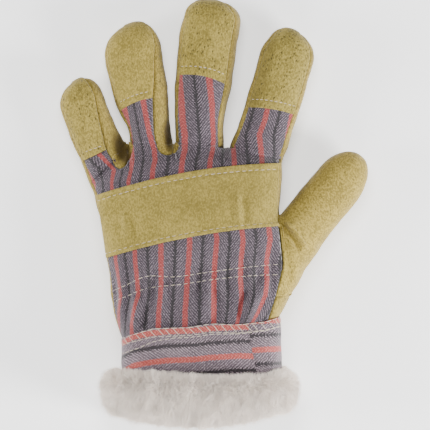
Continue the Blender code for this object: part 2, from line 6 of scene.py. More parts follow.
import bpy
import numpy as np
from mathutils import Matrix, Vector


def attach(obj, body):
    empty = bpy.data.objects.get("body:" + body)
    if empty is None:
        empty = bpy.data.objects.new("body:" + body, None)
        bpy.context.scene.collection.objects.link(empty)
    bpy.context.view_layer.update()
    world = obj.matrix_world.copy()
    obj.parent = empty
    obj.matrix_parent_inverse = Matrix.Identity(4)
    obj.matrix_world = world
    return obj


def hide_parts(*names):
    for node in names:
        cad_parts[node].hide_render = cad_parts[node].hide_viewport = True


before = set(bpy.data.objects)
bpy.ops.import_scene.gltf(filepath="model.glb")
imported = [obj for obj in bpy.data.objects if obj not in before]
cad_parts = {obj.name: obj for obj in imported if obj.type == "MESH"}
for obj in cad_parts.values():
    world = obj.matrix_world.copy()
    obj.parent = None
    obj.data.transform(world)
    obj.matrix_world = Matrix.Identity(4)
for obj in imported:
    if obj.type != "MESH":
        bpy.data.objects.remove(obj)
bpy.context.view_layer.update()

# Canvas back
# Cotton herringbone with woven stripes, quilted to the lining and cut in one piece for the back of the hand
# and the fingers. It is sewn to the palm leather inside out, so its edges roll in along the seams. Shapes
# are in millimetres, with y 0 at the wrist and x towards the thumb, until they become objects.

HAND_WIDTH = 118.7
HAND_LENGTH = 112.4
PALM_DEPTH = 41.0
# Lines across the hand from the mouth to the knuckles: where the left end, middle and right end lie, as
# shares of the width from the hand's middle and of the length from the wrist, the seam by the thumb from
# the middle (0) to the side (1), and the height of the side and the depths above and below it as shares of
# the depth
HAND_LINES = np.array(
    [
        # left x, left y, middle y, right x, right y, seam, side, above, below
        (-0.343, 0.022, 0.000, 0.486, 0.017, 0.875, 0.646, 0.450, 0.450),  # mouth
        (-0.347, -0.062, 0.000, 0.482, 0.056, 0.880, 0.600, 0.463, 0.488),  # wrist
        (-0.390, 0.062, 0.136, 0.548, 0.190, 0.838, 0.537, 0.480, 0.560),  # heel
        (-0.404, 0.145, 0.2669, 0.553, 0.3025, 0.888, 0.512, 0.478, 0.545),  # lower elastic
        (-0.411, 0.209, 0.311, 0.559, 0.367, 0.894, 0.500, 0.482, 0.535),  # upper elastic
        (-0.421, 0.305, 0.412, 0.537, 0.475, 0.917, 0.490, 0.500, 0.5251),  # back
        (-0.435, 0.395, 0.5178, 0.508, 0.5756, 0.956, 0.480, 0.490, 0.515),  # strap's lower edge
        (-0.445, 0.475, 0.593, 0.489, 0.633, 0.970, 0.465, 0.475, 0.500),  # thumb's web
        (-0.497, 0.74555, 0.8799, 0.506, 0.9306, 0.960, 0.390, 0.4051, 0.420),  # strap's upper edge
    ]
)
# From here on in millimetres, to the nearest hundredth
HAND_LINES[:, [0, 3]] *= HAND_WIDTH
HAND_LINES[:, [1, 2, 4]] *= HAND_LENGTH
HAND_LINES[:, 6:] *= PALM_DEPTH
HAND_LINES[:, :5] = np.round(HAND_LINES[:, :5], 2)
HAND_LINES[:, 6:] = np.round(HAND_LINES[:, 6:], 2)
CUFF_LENGTH = 33.7
CROTCH_HEIGHT = 13.0
# Fingers: the ends of the root and the start of the axis as shares of the hand's width and length, the
# length, width, depth and lean, where the seams lie from -1 to 1 across the back, where the leather
# fingertip starts, with its edge's tilt and sag, where the end rounds off and how square it is, the right
# seam's place along the finger, and sections: along, centre and half width as shares of the width, and
# height as a share of the depth
FINGERS = [
    dict(
        name="little", root=(-0.527, 0.814, -0.326, 1.040), base=(-0.425, 0.907), length=59.3,
        width=29.2, depth=22.5, lean=-15.5, seams=(-0.90, 0.22), cap_at=0.1525, tilt=-0.067, sag=0.0,
        tip_at=0.72, tip_power=2.0,
        run=[
            (0, 0.22), (0.10, 0.18), (0.21, 0.21), (0.36, 0.33), (0.52, 0.46), (0.69, 0.59), (0.84, 0.625),
            (1, 0.54),
        ],
        sections=[
            (0.25, 0.070, 0.560, 0.580), (0.50, 0.137, 0.500, 0.590), (0.75, 0.176, 0.500, 0.560),
            (0.90, 0.140, 0.500, 0.535), (1.00, 0.080, 0.500, 0.5098),
        ],
    ),
    dict(
        name="ring", root=(-0.309, 1.044, -0.080, 1.044), base=(-0.189, 1.014), length=80.9,
        width=36.0, depth=24.5, lean=-6.9, seams=(-0.93, 0.22), cap_at=0.3875, tilt=0.028, sag=-0.042,
        tip_at=0.76, tip_power=2.0,
        run=[
            (0, 0.22), (0.07, 0.20), (0.23, 0.29), (0.385, 0.41), (0.545, 0.586), (0.70, 0.73),
            (0.858, 0.826), (1, 0.856),
        ],
        sections=[
            (0.20, 0.020, 0.380, 0.560), (0.50, 0.095, 0.482, 0.590), (0.75, 0.140, 0.506, 0.560),
            (0.90, 0.105, 0.506, 0.535), (1.00, 0.030, 0.506, 0.510),
        ],
    ),
    dict(
        name="middle", root=(-0.066, 1.044, 0.193, 1.018), base=(0.067, 1.014), length=94.4,
        width=37.6, depth=25.5, lean=3.1, seams=(-0.90, 0.80), cap_at=0.485, tilt=-0.030, sag=-0.036,
        tip_at=0.83, tip_power=2.4,
        run=[(0, 0.80), (1, 0.80)],
        sections=[
            (0.20, 0.045, 0.420, 0.560), (0.50, 0.012, 0.473, 0.590), (0.75, -0.035, 0.495, 0.560),
            (0.90, -0.074, 0.500, 0.535), (1.00, -0.020, 0.500, 0.5102),
        ],
    ),
    dict(
        name="index", root=(0.220, 1.022, 0.513, 0.955), base=(0.367, 0.986), length=81.9,
        width=34.8, depth=24.5, lean=13.4, seams=(-0.88, 0.86), cap_at=0.360, tilt=0.017, sag=-0.022,
        tip_at=0.76, tip_power=2.0,
        run=[(0, 0.86), (1, 0.86)],
        sections=[
            (0.20, -0.049, 0.488, 0.560), (0.50, -0.095, 0.497, 0.590), (0.75, -0.129, 0.494, 0.560),
            (0.90, -0.132, 0.494, 0.535), (1.00, -0.072, 0.494, 0.510),
        ],
    ),
]
for finger in FINGERS:
    finger["root"] = np.round(np.reshape(finger["root"], (2, 2)) * (HAND_WIDTH, HAND_LENGTH), 2)
    finger["base"] = np.round(np.array(finger["base"]) * (HAND_WIDTH, HAND_LENGTH), 2)
    sizes = (1, finger["width"], finger["width"], finger["depth"])
    finger["sections"] = np.round(np.array(finger["sections"]) * sizes, 2)
# How far the leather comes down over the crotch at the right of each finger, as a share of the way from the
# line of the finger roots to the strap's upper edge
CROTCH_LAPS = (0.46, 0.35, 0.0)
CANVAS_WALL = 1.2
# Places of the woven red stripes across the back, from the little finger's side, at heights above the wrist
STRIPE_HEIGHTS = np.array(
    [2.0, 11.0, 21.0, 30.5, 43.0, 56.0, 92.5, 100.5, 106.5, 113.0, 122.5, 132.0, 141.5, 160.5]
)
STRIPE_PLACES = np.array(
    [
        (-56.0, -43.5, -36.0, -18.7, -1.9, 16.5, 31.1, 39.4, 52.0),
        (-57.0, -43.8, -34.3, -18.4, -1.9, 16.5, 33.3, 44.5, 59.0),
        (-58.0, -42.5, -31.8, -17.5, -1.0, 16.5, 34.3, 48.9, 64.8),
        (-58.0, -44.1, -32.4, -17.1, -0.6, 16.5, 33.3, 50.2, 66.7),
        (-58.4, -45.7, -33.7, -17.1, 0.6, 17.1, 33.7, 50.2, 66.7),
        (-59.0, -46.7, -34.0, -17.1, 1.3, 18.4, 34.9, 52.1, 69.2),
        (-59.7, -48.3, -38.1, -22.9, -4.4, 13.0, 29.8, 47.6, 62.9),
        (-64.8, -46.4, -36.2, -22.5, -4.1, 13.7, 29.5, 47.3, 62.9),
        (-71.1, -52.7, -35.2, -21.0, -3.5, 14.3, 29.2, 47.0, 62.2),
        (-77.5, -59.1, -35.6, -21.6, -1.9, 15.9, 28.6, 46.4, 62.9),
        (-86.0, -66.0, -36.5, -24.8, -1.9, 16.5, 28.0, 45.1, 63.5),
        (-94.0, -74.0, -38.1, -26.7, -3.2, 15.9, 30.5, 48.9, 65.4),
        (-99.0, -80.0, -40.0, -28.6, -3.8, 15.2, 33.0, 51.1, 67.3),
        (-110.0, -90.0, -43.8, -32.4, -5.4, 12.9, 36.8, 55.2, 71.1),
    ]
)
STRIPE_PERIOD = 17.1


def smooth(share):
    """0 to 1 with level ends: three squares less two cubes."""
    share = np.clip(share, 0.0, 1.0)
    return share * share * (3.0 - 2.0 * share)


def mix(start, end, share):
    """From start, at a share of 0, to end, at 1."""
    return start + (end - start) * share


def bow(share, power):
    """A rounded section's height, 1 in the middle and 0 at -1 and 1: the power root of 1 less the share's
    power."""
    return (1.0 - np.clip(np.abs(share), 0.0, 1.0) ** power) ** (1.0 / power)


def spread(start, end, steps, close=0.8):
    """Steps from start to end, drawn together at both ends by taking a sine wave off even ones."""
    share = np.linspace(0.0, 1.0, steps + 1)
    return start + (end - start) * (share - close * np.sin(2 * math.pi * share) / (2 * math.pi))


def curve(at, knots, values):
    """A smooth curve through a table: cubic pieces that meet with the mean slope of their neighbours."""
    knots = np.asarray(knots, float)
    values = np.asarray(values, float)
    slopes = np.gradient(values, knots, axis=0)
    piece = np.clip(np.searchsorted(knots, at, side="right") - 1, 0, len(knots) - 2)
    more = (1,) * (values.ndim - 1)
    span = (knots[piece + 1] - knots[piece]).reshape(*np.shape(at), *more)
    t = (at - knots[piece]).reshape(*np.shape(at), *more) / span
    near = (1 + 2 * t) * (1 - t) ** 2 * values[piece] + t * (1 - t) ** 2 * span * slopes[piece]
    far = t * t * (3 - 2 * t) * values[piece + 1] + t * t * (t - 1) * span * slopes[piece + 1]
    return near + far


def wander(x, y, size, seed):
    """A smooth uneven height of about -1 to 1: a sum of waves some size long, in turned directions."""
    rng = np.random.default_rng(seed)
    total = 0.0
    for turn, start, long in zip(rng.uniform(0, 6.28, 9), rng.uniform(0, 6.28, 9), rng.uniform(0.75, 1.5, 9)):
        total = total + np.sin((x * math.cos(turn) + y * math.sin(turn)) * 6.283 / (long * size) + start)
    return total / 4.2


def ridge(x, y, path, width):
    """1 on a line through the points of path, falling off as a bell of a width, and towards its ends."""
    path = np.asarray(path, float)
    runs = np.diff(path, axis=0)
    longs = np.hypot(runs[:, 0], runs[:, 1])
    done = np.append(0.0, np.cumsum(longs)) / longs.sum()
    near = np.full(np.shape(x), 1e9)
    share = np.zeros(np.shape(x))
    for start, run, long, first in zip(path[:-1], runs, longs, done[:-1]):
        along = np.clip(((x - start[0]) * run[0] + (y - start[1]) * run[1]) / long**2, 0.0, 1.0)
        away = np.hypot(x - start[0] - along * run[0], y - start[1] - along * run[1])
        share = np.where(away < near, first + along * long / longs.sum(), share)
        near = np.minimum(near, away)
    return np.exp(-((near / width) ** 2)) * np.clip(4 * share * (1 - share) * 1.4, 0.0, 1.0)


def ridges(x, y, *rows):
    """The sum of several ridges, each given by its height, path and width."""
    return sum(high * ridge(x, y, path, width) for high, path, width in rows)


def hand_columns(edge, back, side, web):
    """Columns across the hand, finger by finger: steps in the leather at a finger's left, between its
    seams, in the leather at its right, and over each web. Each column has its place across its finger
    (minus the cosine of its angle), its finger by number, and where it meets the line of finger roots."""
    plan, place, owner, seams = [], [], [], []
    for index, finger in enumerate(FINGERS):
        left, right = finger["root"]
        if index:
            last = FINGERS[index - 1]["root"][1]
            share = np.arange(1, web) / web
            plan.append(last + np.outer(share, left - last))
            place.append(np.ones(web - 1))
            owner.append(index - 1 + share)
        turns = [math.acos(-seam) for seam in finger["seams"]]
        angle = np.concatenate(
            [spread(0, turns[0], edge)[:-1], spread(*turns, back)[:-1], spread(turns[1], math.pi, side)]
        )
        first = sum(len(part) for part in place)
        seams.append((first, first + edge, first + edge + back, first + edge + back + side))
        place.append(-np.cos(angle))
        plan.append(left + np.outer((place[-1] + 1) / 2, right - left))
        owner.append(np.full(len(angle), float(index)))
    plan = np.concatenate(plan)
    base = 2 * (plan[:, 0] - plan[0, 0]) / (plan[-1, 0] - plan[0, 0]) - 1
    return dict(
        plan=plan, place=np.concatenate(place), owner=np.concatenate(owner), base=base, seams=seams, back=back
    )


def hand(at, columns, pick=slice(None)):
    """Top and bottom of the hand. Row numbers at run from the mouth (0) by the wrist (1) to the finger
    roots (9). A row is a level curve through the table's line, and from 8 on it turns into the line of
    roots. Its height is a boxy bow across the hand that turns into one bow for each finger."""
    at = at[:, None] if at.ndim == 1 else at
    base, place, owner = (columns[name][pick] for name in ("base", "place", "owner"))
    line = np.minimum(at, 8.0)
    blend = at - line
    value = np.moveaxis(curve(line, np.arange(9), HAND_LINES), -1, 0)
    left_x, left_y, mid_y, right_x, right_y, seam, rise, above, below = value
    last = columns["seams"][-1]
    middle, seam_base = columns["base"][last[1] + columns["back"] // 2], columns["base"][last[2]]
    seam = mix(seam, seam_base, blend)
    on_canvas = middle + (base - middle) / (seam_base - middle) * (seam - middle)
    on_side = seam + (base - seam_base) / (1 - seam_base) * (1 - seam)
    edge_base = columns["base"][columns["seams"][0][1]]
    edge = -1 + (edge_base + 1) * mix(0.35, 1.0, smooth((at - 6.8) / 1.2))
    on_edge = -1 + (base + 1) / (edge_base + 1) * (edge + 1)
    on_left = edge + (base - edge_base) / (middle - edge_base) * (middle - edge)
    on_left = np.where(base < edge_base, on_edge, on_left)
    across = np.where(base < middle, on_left, np.where(base < seam_base, on_canvas, on_side))
    x = mix(left_x, right_x, (across + 1) / 2)
    sag = (right_y + left_y) / 2 - mid_y
    y = mid_y + (right_y - left_y) / 2 * across + sag * across**2 - CUFF_LENGTH * np.clip(1 - line, 0, 1)
    x = mix(x, columns["plan"][pick, 0], blend)
    y = mix(y, columns["plan"][pick, 1], blend)
    shape = mix(bow(across, 2.8), bow(place, 2.0), 1 - bow(blend, 2.2))
    half = np.interp(owner, range(4), [finger["depth"] / 2 for finger in FINGERS])
    rise = mix(rise, CROTCH_HEIGHT, smooth(blend))
    top = rise + mix(above, half, smooth(blend)) * shape
    bottom = rise - mix(below, half, smooth(blend)) * shape
    return np.stack([x, y, top], axis=-1), np.stack([x, y, np.maximum(bottom, 0.0)], axis=-1)


def finger_sides(finger, at, place):
    """Back and front of a finger at shares of its length and places across it: a bow on each side of a
    curved middle line, rounded down to a point at the tip, that starts on the hand's line of roots. The
    right seam's place runs along it by a table, and near the fingertip's edge the rows tilt and sag with
    that edge."""
    at = at[:, None]
    left_seam, right_seam = finger["seams"]
    run = curve(at, *np.array(finger["run"], float).T)
    inside = left_seam + (place - left_seam) / (right_seam - left_seam) * (run - left_seam)
    outside = run + (place - right_seam) / (1 - right_seam) * (1 - run)
    place = np.where(place < left_seam, place, np.where(place < right_seam, inside, outside))
    left, right = finger["root"]
    base = finger["base"]
    lean = math.radians(finger["lean"])
    axis = np.array([math.sin(lean), math.cos(lean)])
    side = np.array([-math.cos(lean), math.sin(lean)])
    root_half = np.linalg.norm(right - left) / 2
    table = np.vstack([(0.0, 0.0, root_half, CROTCH_HEIGHT), finger["sections"]])
    centre, half, rise = np.moveaxis(curve(at, table[:, 0], table[:, 1:]), -1, 0)
    tilt = finger["tilt"] * place + finger["sag"] * place**2
    tilt = tilt * smooth(at / finger["cap_at"]) * (1 - smooth((at - finger["cap_at"]) / 0.35))
    round_in = bow(np.clip((at - finger["tip_at"]) / (1 - finger["tip_at"]), 0, 1), finger["tip_power"])
    root = left + (place[..., None] + 1) / 2 * (right - left) - base + place[..., None] * root_half * side
    fade = 1 - smooth(at / finger["sections"][0][0] / 1.8)
    out = centre - place * half * round_in
    plan = base + (at + tilt)[..., None] * axis * finger["length"]
    plan = plan + out[..., None] * side + root * fade[..., None]
    depth = finger["depth"] / 2 * bow(place, 2.0) * round_in
    back = np.concatenate([plan, (rise + depth)[..., None]], axis=-1)
    front = np.concatenate([plan, (rise - depth)[..., None]], axis=-1)
    return back, front


def finger_rows(finger, below, above, tip):
    """Shares of a finger's length from root to tip, closer together at the fingertip's edge and the end."""
    start, cap, end = 0.0, finger["cap_at"], finger["tip_at"]
    round_tip = end + (1 - end) * np.sin(np.linspace(0, math.pi / 2, tip + 1))[1:]
    return spread(start, cap, below), np.concatenate([spread(cap, end, above), round_tip])


def lay_out(points, keep=None, turn=False, **marks):
    """A grid as a sheet: two triangles for each square that is kept, and values marked on its points."""
    rows, cols = points.shape[:2]
    number = np.arange(rows * cols).reshape(rows, cols)
    square = np.stack([number[:-1, :-1], number[:-1, 1:], number[1:, 1:], number[1:, :-1]], axis=-1)
    square = square.reshape(-1, 4) if keep is None else square[keep]
    square = square[:, ::-1] if turn else square
    corners = np.concatenate([square[:, [0, 1, 2]], square[:, [0, 2, 3]]])
    marks = {name: np.broadcast_to(value, (rows, cols)).reshape(-1) for name, value in marks.items()}
    return points.reshape(-1, 3), corners, marks


def join(sheets):
    """Several sheets as one: points that fall together become one, and triangles without width drop out."""
    starts = np.cumsum([0] + [len(sheet[0]) for sheet in sheets[:-1]])
    points = np.concatenate([sheet[0] for sheet in sheets])
    corners = np.concatenate([sheet[1] + start for sheet, start in zip(sheets, starts)])
    marks = {name: np.concatenate([sheet[2][name] for sheet in sheets]) for name in sheets[0][2]}
    _, first, same = np.unique(np.round(points, 3), axis=0, return_index=True, return_inverse=True)
    corners = same.reshape(-1)[corners]
    wide = (corners != np.roll(corners, 1, axis=1)).all(axis=1)
    used, corners = np.unique(corners[wide], return_inverse=True)
    pick = first[used]
    return points[pick], corners.reshape(-1, 3), {name: value[pick] for name, value in marks.items()}


def normals_of(points, corners):
    """Each point's normal: the sum of its triangles' cross products, at length 1."""
    a, b, c = (points[corners[:, index]] for index in range(3))
    face = np.cross(b - a, c - a)
    flat = corners.reshape(-1)
    sums = [np.bincount(flat, np.repeat(face[:, axis], 3), len(points)) for axis in range(3)]
    total = np.stack(sums, axis=1)
    return total / np.maximum(np.linalg.norm(total, axis=1), 1e-9)[:, None]


def rim_of(points, corners):
    """The edges that one triangle alone uses, as pairs of point numbers."""
    ends = np.concatenate([corners[:, [0, 1]], corners[:, [1, 2]], corners[:, [2, 0]]])
    code = ends[:, 0] * len(points) + ends[:, 1]
    back = ends[:, 1] * len(points) + ends[:, 0]
    return ends[~np.isin(code, back)]


def distance(points, others):
    """How far each point is from the nearest of the others."""
    near = []
    for part in np.array_split(points, max(1, len(points) // 4000)):
        square = (part**2).sum(axis=1)[:, None] + (others**2).sum(axis=1) - 2 * part @ others.T
        near.append(np.sqrt(np.maximum(square.min(axis=1), 0.0)))
    return np.concatenate(near)


def roll_in(away, radius, depth):
    """How far a seam's edge turns down: a quarter circle from 0, a radius away, to the depth at the edge."""
    return depth * (1 - np.sqrt(np.maximum(1 - np.clip(1 - away / radius, 0, 1) ** 2, 0.0)))


# The middle of the glove, which is the frame's origin
GLOVE_MIDDLE = (16.658, 72.459, 0.0)


def make_object(name, points, corners, material, cloth=None):
    """An object with its points moved from the glove's own millimetres to the frame's metres, and the
    cloth's map given for each corner of each triangle."""
    mesh = bpy.data.meshes.new(name)
    place = (points - GLOVE_MIDDLE) / 1000.0
    mesh.from_pydata(place.tolist(), [], corners.tolist())
    if cloth is not None:
        layer = mesh.uv_layers.new(name="cloth")
        layer.data.foreach_set("uv", cloth.astype(np.float32).ravel())
    mesh.materials.append(material)
    mesh.shade_smooth()
    mesh.set_sharp_from_angle(angle=math.radians(55))
    made = bpy.data.objects.new(name, mesh)
    bpy.context.scene.collection.objects.link(made)
    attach(made, "root")
    return made


def cut_panel(name, sheet, push, wall, material, step=0.0):
    """A panel of the glove: the sheet pushed out along its normals, with its wall inside it and its rim
    closed. Where its mark "past" is above 0, past a seam, the cloth's stripes are a step further on."""
    points, corners, marks = sheet
    normals = normals_of(points, corners)
    outer = points + normals * push[:, None]
    outer[:, 2] = np.maximum(outer[:, 2], 0.0)
    inner = outer - normals_of(outer, corners) * wall
    rim = rim_of(points, corners)
    count = len(points)
    band = np.concatenate(
        [
            np.stack([rim[:, 1], rim[:, 0], rim[:, 0] + count], axis=1),
            np.stack([rim[:, 1], rim[:, 0] + count, rim[:, 1] + count], axis=1),
        ]
    )
    corners = np.concatenate([corners, corners[:, ::-1] + count, band])
    cloth = np.tile(np.stack([marks["u"], marks["v"]], axis=1), (2, 1))[corners.reshape(-1)]
    if step:
        past = np.tile(marks["past"], 2)[corners].mean(axis=1) > 0
        cloth[:, 0] += step * np.repeat(past, 3)
    return make_object(name, np.concatenate([outer, inner]), corners, material, cloth)


def stripe_number(x, y):
    """Which woven stripe lies at a point of the back: whole numbers on the reds, halves on the blacks.
    The stripes' places are run between the table's heights, and the number between neighbouring places."""
    places = np.stack([np.interp(y, STRIPE_HEIGHTS, column) for column in STRIPE_PLACES.T], axis=-1)
    left = np.clip((x[..., None] > places).sum(axis=-1) - 1, 0, places.shape[-1] - 2)
    start = np.take_along_axis(places, left[..., None], axis=-1)[..., 0]
    end = np.take_along_axis(places, left[..., None] + 1, axis=-1)[..., 0]
    return left + (x - start) / (end - start)


def gathered(x, y):
    """Height of the soft folds that the wrist's elastic draws into the back: uneven waves across,
    strongest at the two stitch rows and gone at the strap and above, with a few long folds down to the
    cuff."""
    slant = y - 0.14 * x
    strength = np.exp(-(((slant - 27.0) / 17.0) ** 2))
    waves = 0.55 * np.sin(x * 6.283 / 9.3 + 1.2 * wander(x, y * 0.4, 40, 3))
    waves = waves + 0.5 * wander(x, y * 0.25, 15, 4)
    folds_and_painted_shades = ridges(
        x, y,
        (1.5, [(36, 3), (39, 12), (45, 22), (49, 34)], 3.2),
        (-1.3, [(32, 4), (33, 14), (38, 26)], 2.6),
        (1.2, [(-31, -1), (-33, 8), (-31, 20)], 3.0),
        (-1.3, [(-26, 0), (-27, 8), (-25, 17)], 2.8),
        (0.9, [(10, 2), (9, 14), (8, 24)], 4.0),
        (-0.9, [(17, 3), (19, 12), (17, 30)], 3.0),
        (-0.8, [(-9, 0), (-8, 12), (-10, 26)], 3.5),
    )
    return strength * waves * 1.35 + 1.5 * folds_and_painted_shades - 1.1 * np.exp(-(((slant - 30.0) / 13.0) ** 2))


def back_relief(x, y):
    """Height of the back's soft forms: the gathers below the strap and slow hollows between the knuckles."""
    knuckles = smooth((y - 88.0) / 14.0) * 0.2 * wander(x, y, 14, 8)
    return gathered(x, y) * smooth((60.0 - y) / 12.0) + knuckles + 0.25 * wander(x, y, 22, 9)


def put(tree, kind, *values, **settings):
    """A shader node. A socket among the values is linked to its input, and a number or colour is set."""
    node = tree.nodes.new("ShaderNode" + kind)
    for name, value in settings.items():
        setattr(node, name, value)
    for index, value in enumerate(values):
        if isinstance(value, bpy.types.NodeSocket):
            tree.links.new(value, node.inputs[index])
        elif value is not None:
            node.inputs[index].default_value = value
    return node


def calc(tree, operation, *values):
    """The value of a Math node."""
    return put(tree, "Math", *values, operation=operation).outputs[0]


def plus(tree, first, second):
    """The sum of two values."""
    return calc(tree, "ADD", first, second)


def times(tree, first, second):
    """The product of two values."""
    return calc(tree, "MULTIPLY", first, second)


def ramp(tree, value, low, high, start=0.0, end=1.0):
    """A value from low to high carried smoothly from start to end."""
    return put(tree, "MapRange", value, low, high, start, end, interpolation_type="SMOOTHSTEP").outputs[0]


def tint(tree, share, first, second):
    """A colour between two, at a share."""
    node = tree.nodes.new("ShaderNodeMix")
    node.data_type = "RGBA"
    for index, value in ((0, share), (6, first), (7, second)):
        if isinstance(value, bpy.types.NodeSocket):
            tree.links.new(value, node.inputs[index])
        else:
            node.inputs[index].default_value = (*value, 1.0) if index else value
    return node.outputs[2]


def noise(tree, vector, scale, detail=2.0, rough=0.5):
    """A noise value from 0 to 1 on a vector."""
    node = put(tree, "TexNoise", vector, None, scale, detail, rough)
    return node.outputs[0]


def new_group(name, inputs, outputs):
    """An empty shader node group with its sockets, and its input and output nodes."""
    tree = bpy.data.node_groups.new(name, "ShaderNodeTree")
    for socket, kind in inputs:
        tree.interface.new_socket(socket, in_out="INPUT", socket_type="NodeSocket" + kind)
    for socket, kind in outputs:
        tree.interface.new_socket(socket, in_out="OUTPUT", socket_type="NodeSocket" + kind)
    return tree, tree.nodes.new("NodeGroupInput"), tree.nodes.new("NodeGroupOutput")


def new_material(name, rough, sheen=0.0, sheen_rough=0.5):
    """A material, its tree and its shader, with the values that are even over the surface set."""
    made = bpy.data.materials.new(name)
    made.use_nodes = True
    shader = made.node_tree.nodes["Principled BSDF"]
    shader.inputs["Roughness"].default_value = rough
    shader.inputs["Specular IOR Level"].default_value = 0.25
    shader.inputs["Sheen Weight"].default_value = sheen
    shader.inputs["Sheen Roughness"].default_value = sheen_rough
    return made, made.node_tree, shader


# The weave: herringbone ribs that lean one way from red to black stripe and the other way from black to
# red. The cloth's map counts stripe periods, across in u and along in v.
THREAD_STEP = 0.85
weave, weave_in, weave_out = new_group(
    "herringbone_stripes",
    [("Across", "Float"), ("Along", "Float")],
    [("Light", "Float"), ("Red", "Float"), ("Black", "Float"), ("Height", "Float")],
)
across, along = weave_in.outputs["Across"], weave_in.outputs["Along"]
across_mm, along_mm = times(weave, across, STRIPE_PERIOD), times(weave, along, STRIPE_PERIOD)
spot = put(weave, "CombineXYZ", across_mm, along_mm).outputs[0]
yarn = noise(weave, spot, 1.05, 3.0, 0.7)
shift = times(weave, calc(weave, "SUBTRACT", noise(weave, spot, 0.35, 1.0), 0.5), 0.9)
fold_out = calc(weave, "PINGPONG", across, 0.5)
phase = plus(weave, times(weave, fold_out, 10.0), times(weave, along, 8.1))
rib = calc(weave, "SINE", times(weave, plus(weave, phase, shift), 6.2832))
rib = calc(weave, "MULTIPLY_ADD", rib, 0.5, 0.5)
thread = calc(weave, "SINE", times(weave, along, 6.2832 * STRIPE_PERIOD / THREAD_STEP))
thread = calc(weave, "MULTIPLY_ADD", thread, 0.5, 0.5)
mixed = plus(weave, times(weave, rib, 0.34), times(weave, yarn, 1.35))
mixed = plus(weave, mixed, times(weave, thread, 0.12))
light = ramp(weave, mixed, 0.87, 1.23)
ragged = times(weave, calc(weave, "SUBTRACT", mixed, 0.9), 0.05)
red_edge = plus(weave, fold_out, ragged)
red = ramp(weave, red_edge, 0.112, 0.084)
from_black = calc(weave, "SUBTRACT", 0.5, fold_out)
black = ramp(weave, plus(weave, from_black, times(weave, ragged, 3.4)), 0.100, 0.060)
weave.links.new(light, weave_out.inputs["Light"])
weave.links.new(red, weave_out.inputs["Red"])
weave.links.new(black, weave_out.inputs["Black"])
weave.links.new(plus(weave, rib, times(weave, yarn, 0.7)), weave_out.inputs["Height"])


def striped_cloth(name, dark, pale, red_pair, worn):
    """Canvas: dark and pale yarns by the weave's light, red and black stripes, and slow fading over them."""
    made, tree, shader = new_material(name, 0.95, sheen=0.25, sheen_rough=0.6)
    cloth = put(tree, "UVMap", uv_map="cloth").outputs[0]
    split = put(tree, "SeparateXYZ", cloth)
    cells = tree.nodes.new("ShaderNodeGroup")
    cells.node_tree = weave
    tree.links.new(split.outputs[0], cells.inputs["Across"])
    tree.links.new(split.outputs[1], cells.inputs["Along"])
    here = put(tree, "TexCoord").outputs["Object"]
    fade = ramp(tree, noise(tree, here, 55.0, 3.0), 0.3, 0.7, 0.0, worn)
    ground = tint(tree, cells.outputs["Light"], dark, pale)
    ground = tint(tree, fade, ground, pale)
    woven_red = tint(tree, cells.outputs["Light"], *red_pair)
    colour = tint(tree, cells.outputs["Red"], ground, woven_red)
    colour = tint(tree, times(tree, cells.outputs["Black"], 0.96), colour, (0.012, 0.009, 0.011))
    tree.links.new(colour, shader.inputs["Base Color"])
    bump = put(tree, "Bump", 0.55, 0.0003)
    bump.inputs["Height"].default_value = 0.0
    tree.links.new(cells.outputs["Height"], bump.inputs["Height"])
    tree.links.new(bump.outputs[0], shader.inputs["Normal"])
    return made


canvas_cloth = striped_cloth(
    "striped_canvas",
    (0.027, 0.019, 0.026), (0.200, 0.157, 0.188),
    ((0.19, 0.023, 0.023), (0.39, 0.086, 0.075)), 0.05,
)

fine = hand_columns(8, 28, 9, 6)
lap_depth = np.zeros(len(fine["place"]))
for number, depth in enumerate(CROTCH_LAPS):
    first, last = fine["seams"][number][2], fine["seams"][number + 1][1]
    reach = fine["plan"][first : last + 1]
    run = np.append(0.0, np.cumsum(np.linalg.norm(np.diff(reach, axis=0), axis=1)))
    lap_depth[first : last + 1] = depth * bow(2 * run / run[-1] - 1, 2.2)

on_back = slice(fine["seams"][0][1], fine["seams"][3][2] + 1)
lower_at = np.concatenate([[0.8, 0.9], np.linspace(1, 6, 76), np.linspace(6, 8, 44)[1:]])
upper_at = 8 + np.outer(spread(0, 1, 30), 1 - lap_depth[on_back])
sheets = []
for at in (lower_at, upper_at):
    top = hand(at, fine, on_back)[0]
    sheets.append(lay_out(top, u=stripe_number(top[..., 0], top[..., 1]), v=top[..., 1] / STRIPE_PERIOD))
for finger, seams in zip(FINGERS, fine["seams"]):
    place = fine["place"][seams[1] : seams[2] + 1]
    steps = int(finger["length"] * finger["cap_at"] / 0.85)
    rows = finger_rows(finger, steps, 4, 4)[0] * 1.06
    back = finger_sides(finger, rows, place)[0]
    sheets.append(lay_out(back, u=stripe_number(back[..., 0], back[..., 1]), v=back[..., 1] / STRIPE_PERIOD))
sheet = join(sheets)
points, corners, marks = sheet
rim = points[rim_of(points, corners)[:, 0]]
away = distance(points, rim[rim[:, 1] > 4.0])
beat = points[:, 1] * 6.283 / 4.6 + 2 * wander(points[:, 0], points[:, 1], 30, 5)
pucker = 0.22 * np.sin(beat) * np.exp(-away / 2.5)
push = back_relief(points[:, 0], points[:, 1]) * smooth(away / 5.0) + pucker - roll_in(away, 1.6, 1.7)
back_canvas = cut_panel("canvas_back", sheet, push, CANVAS_WALL, canvas_cloth)
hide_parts("back_canvas")

# Palm leather
# One piece of pigskin for the palm and the fronts of the fingers. It wraps up the sides of the fingers to
# the seams with the back, and laps over the crotches beside the ring finger.


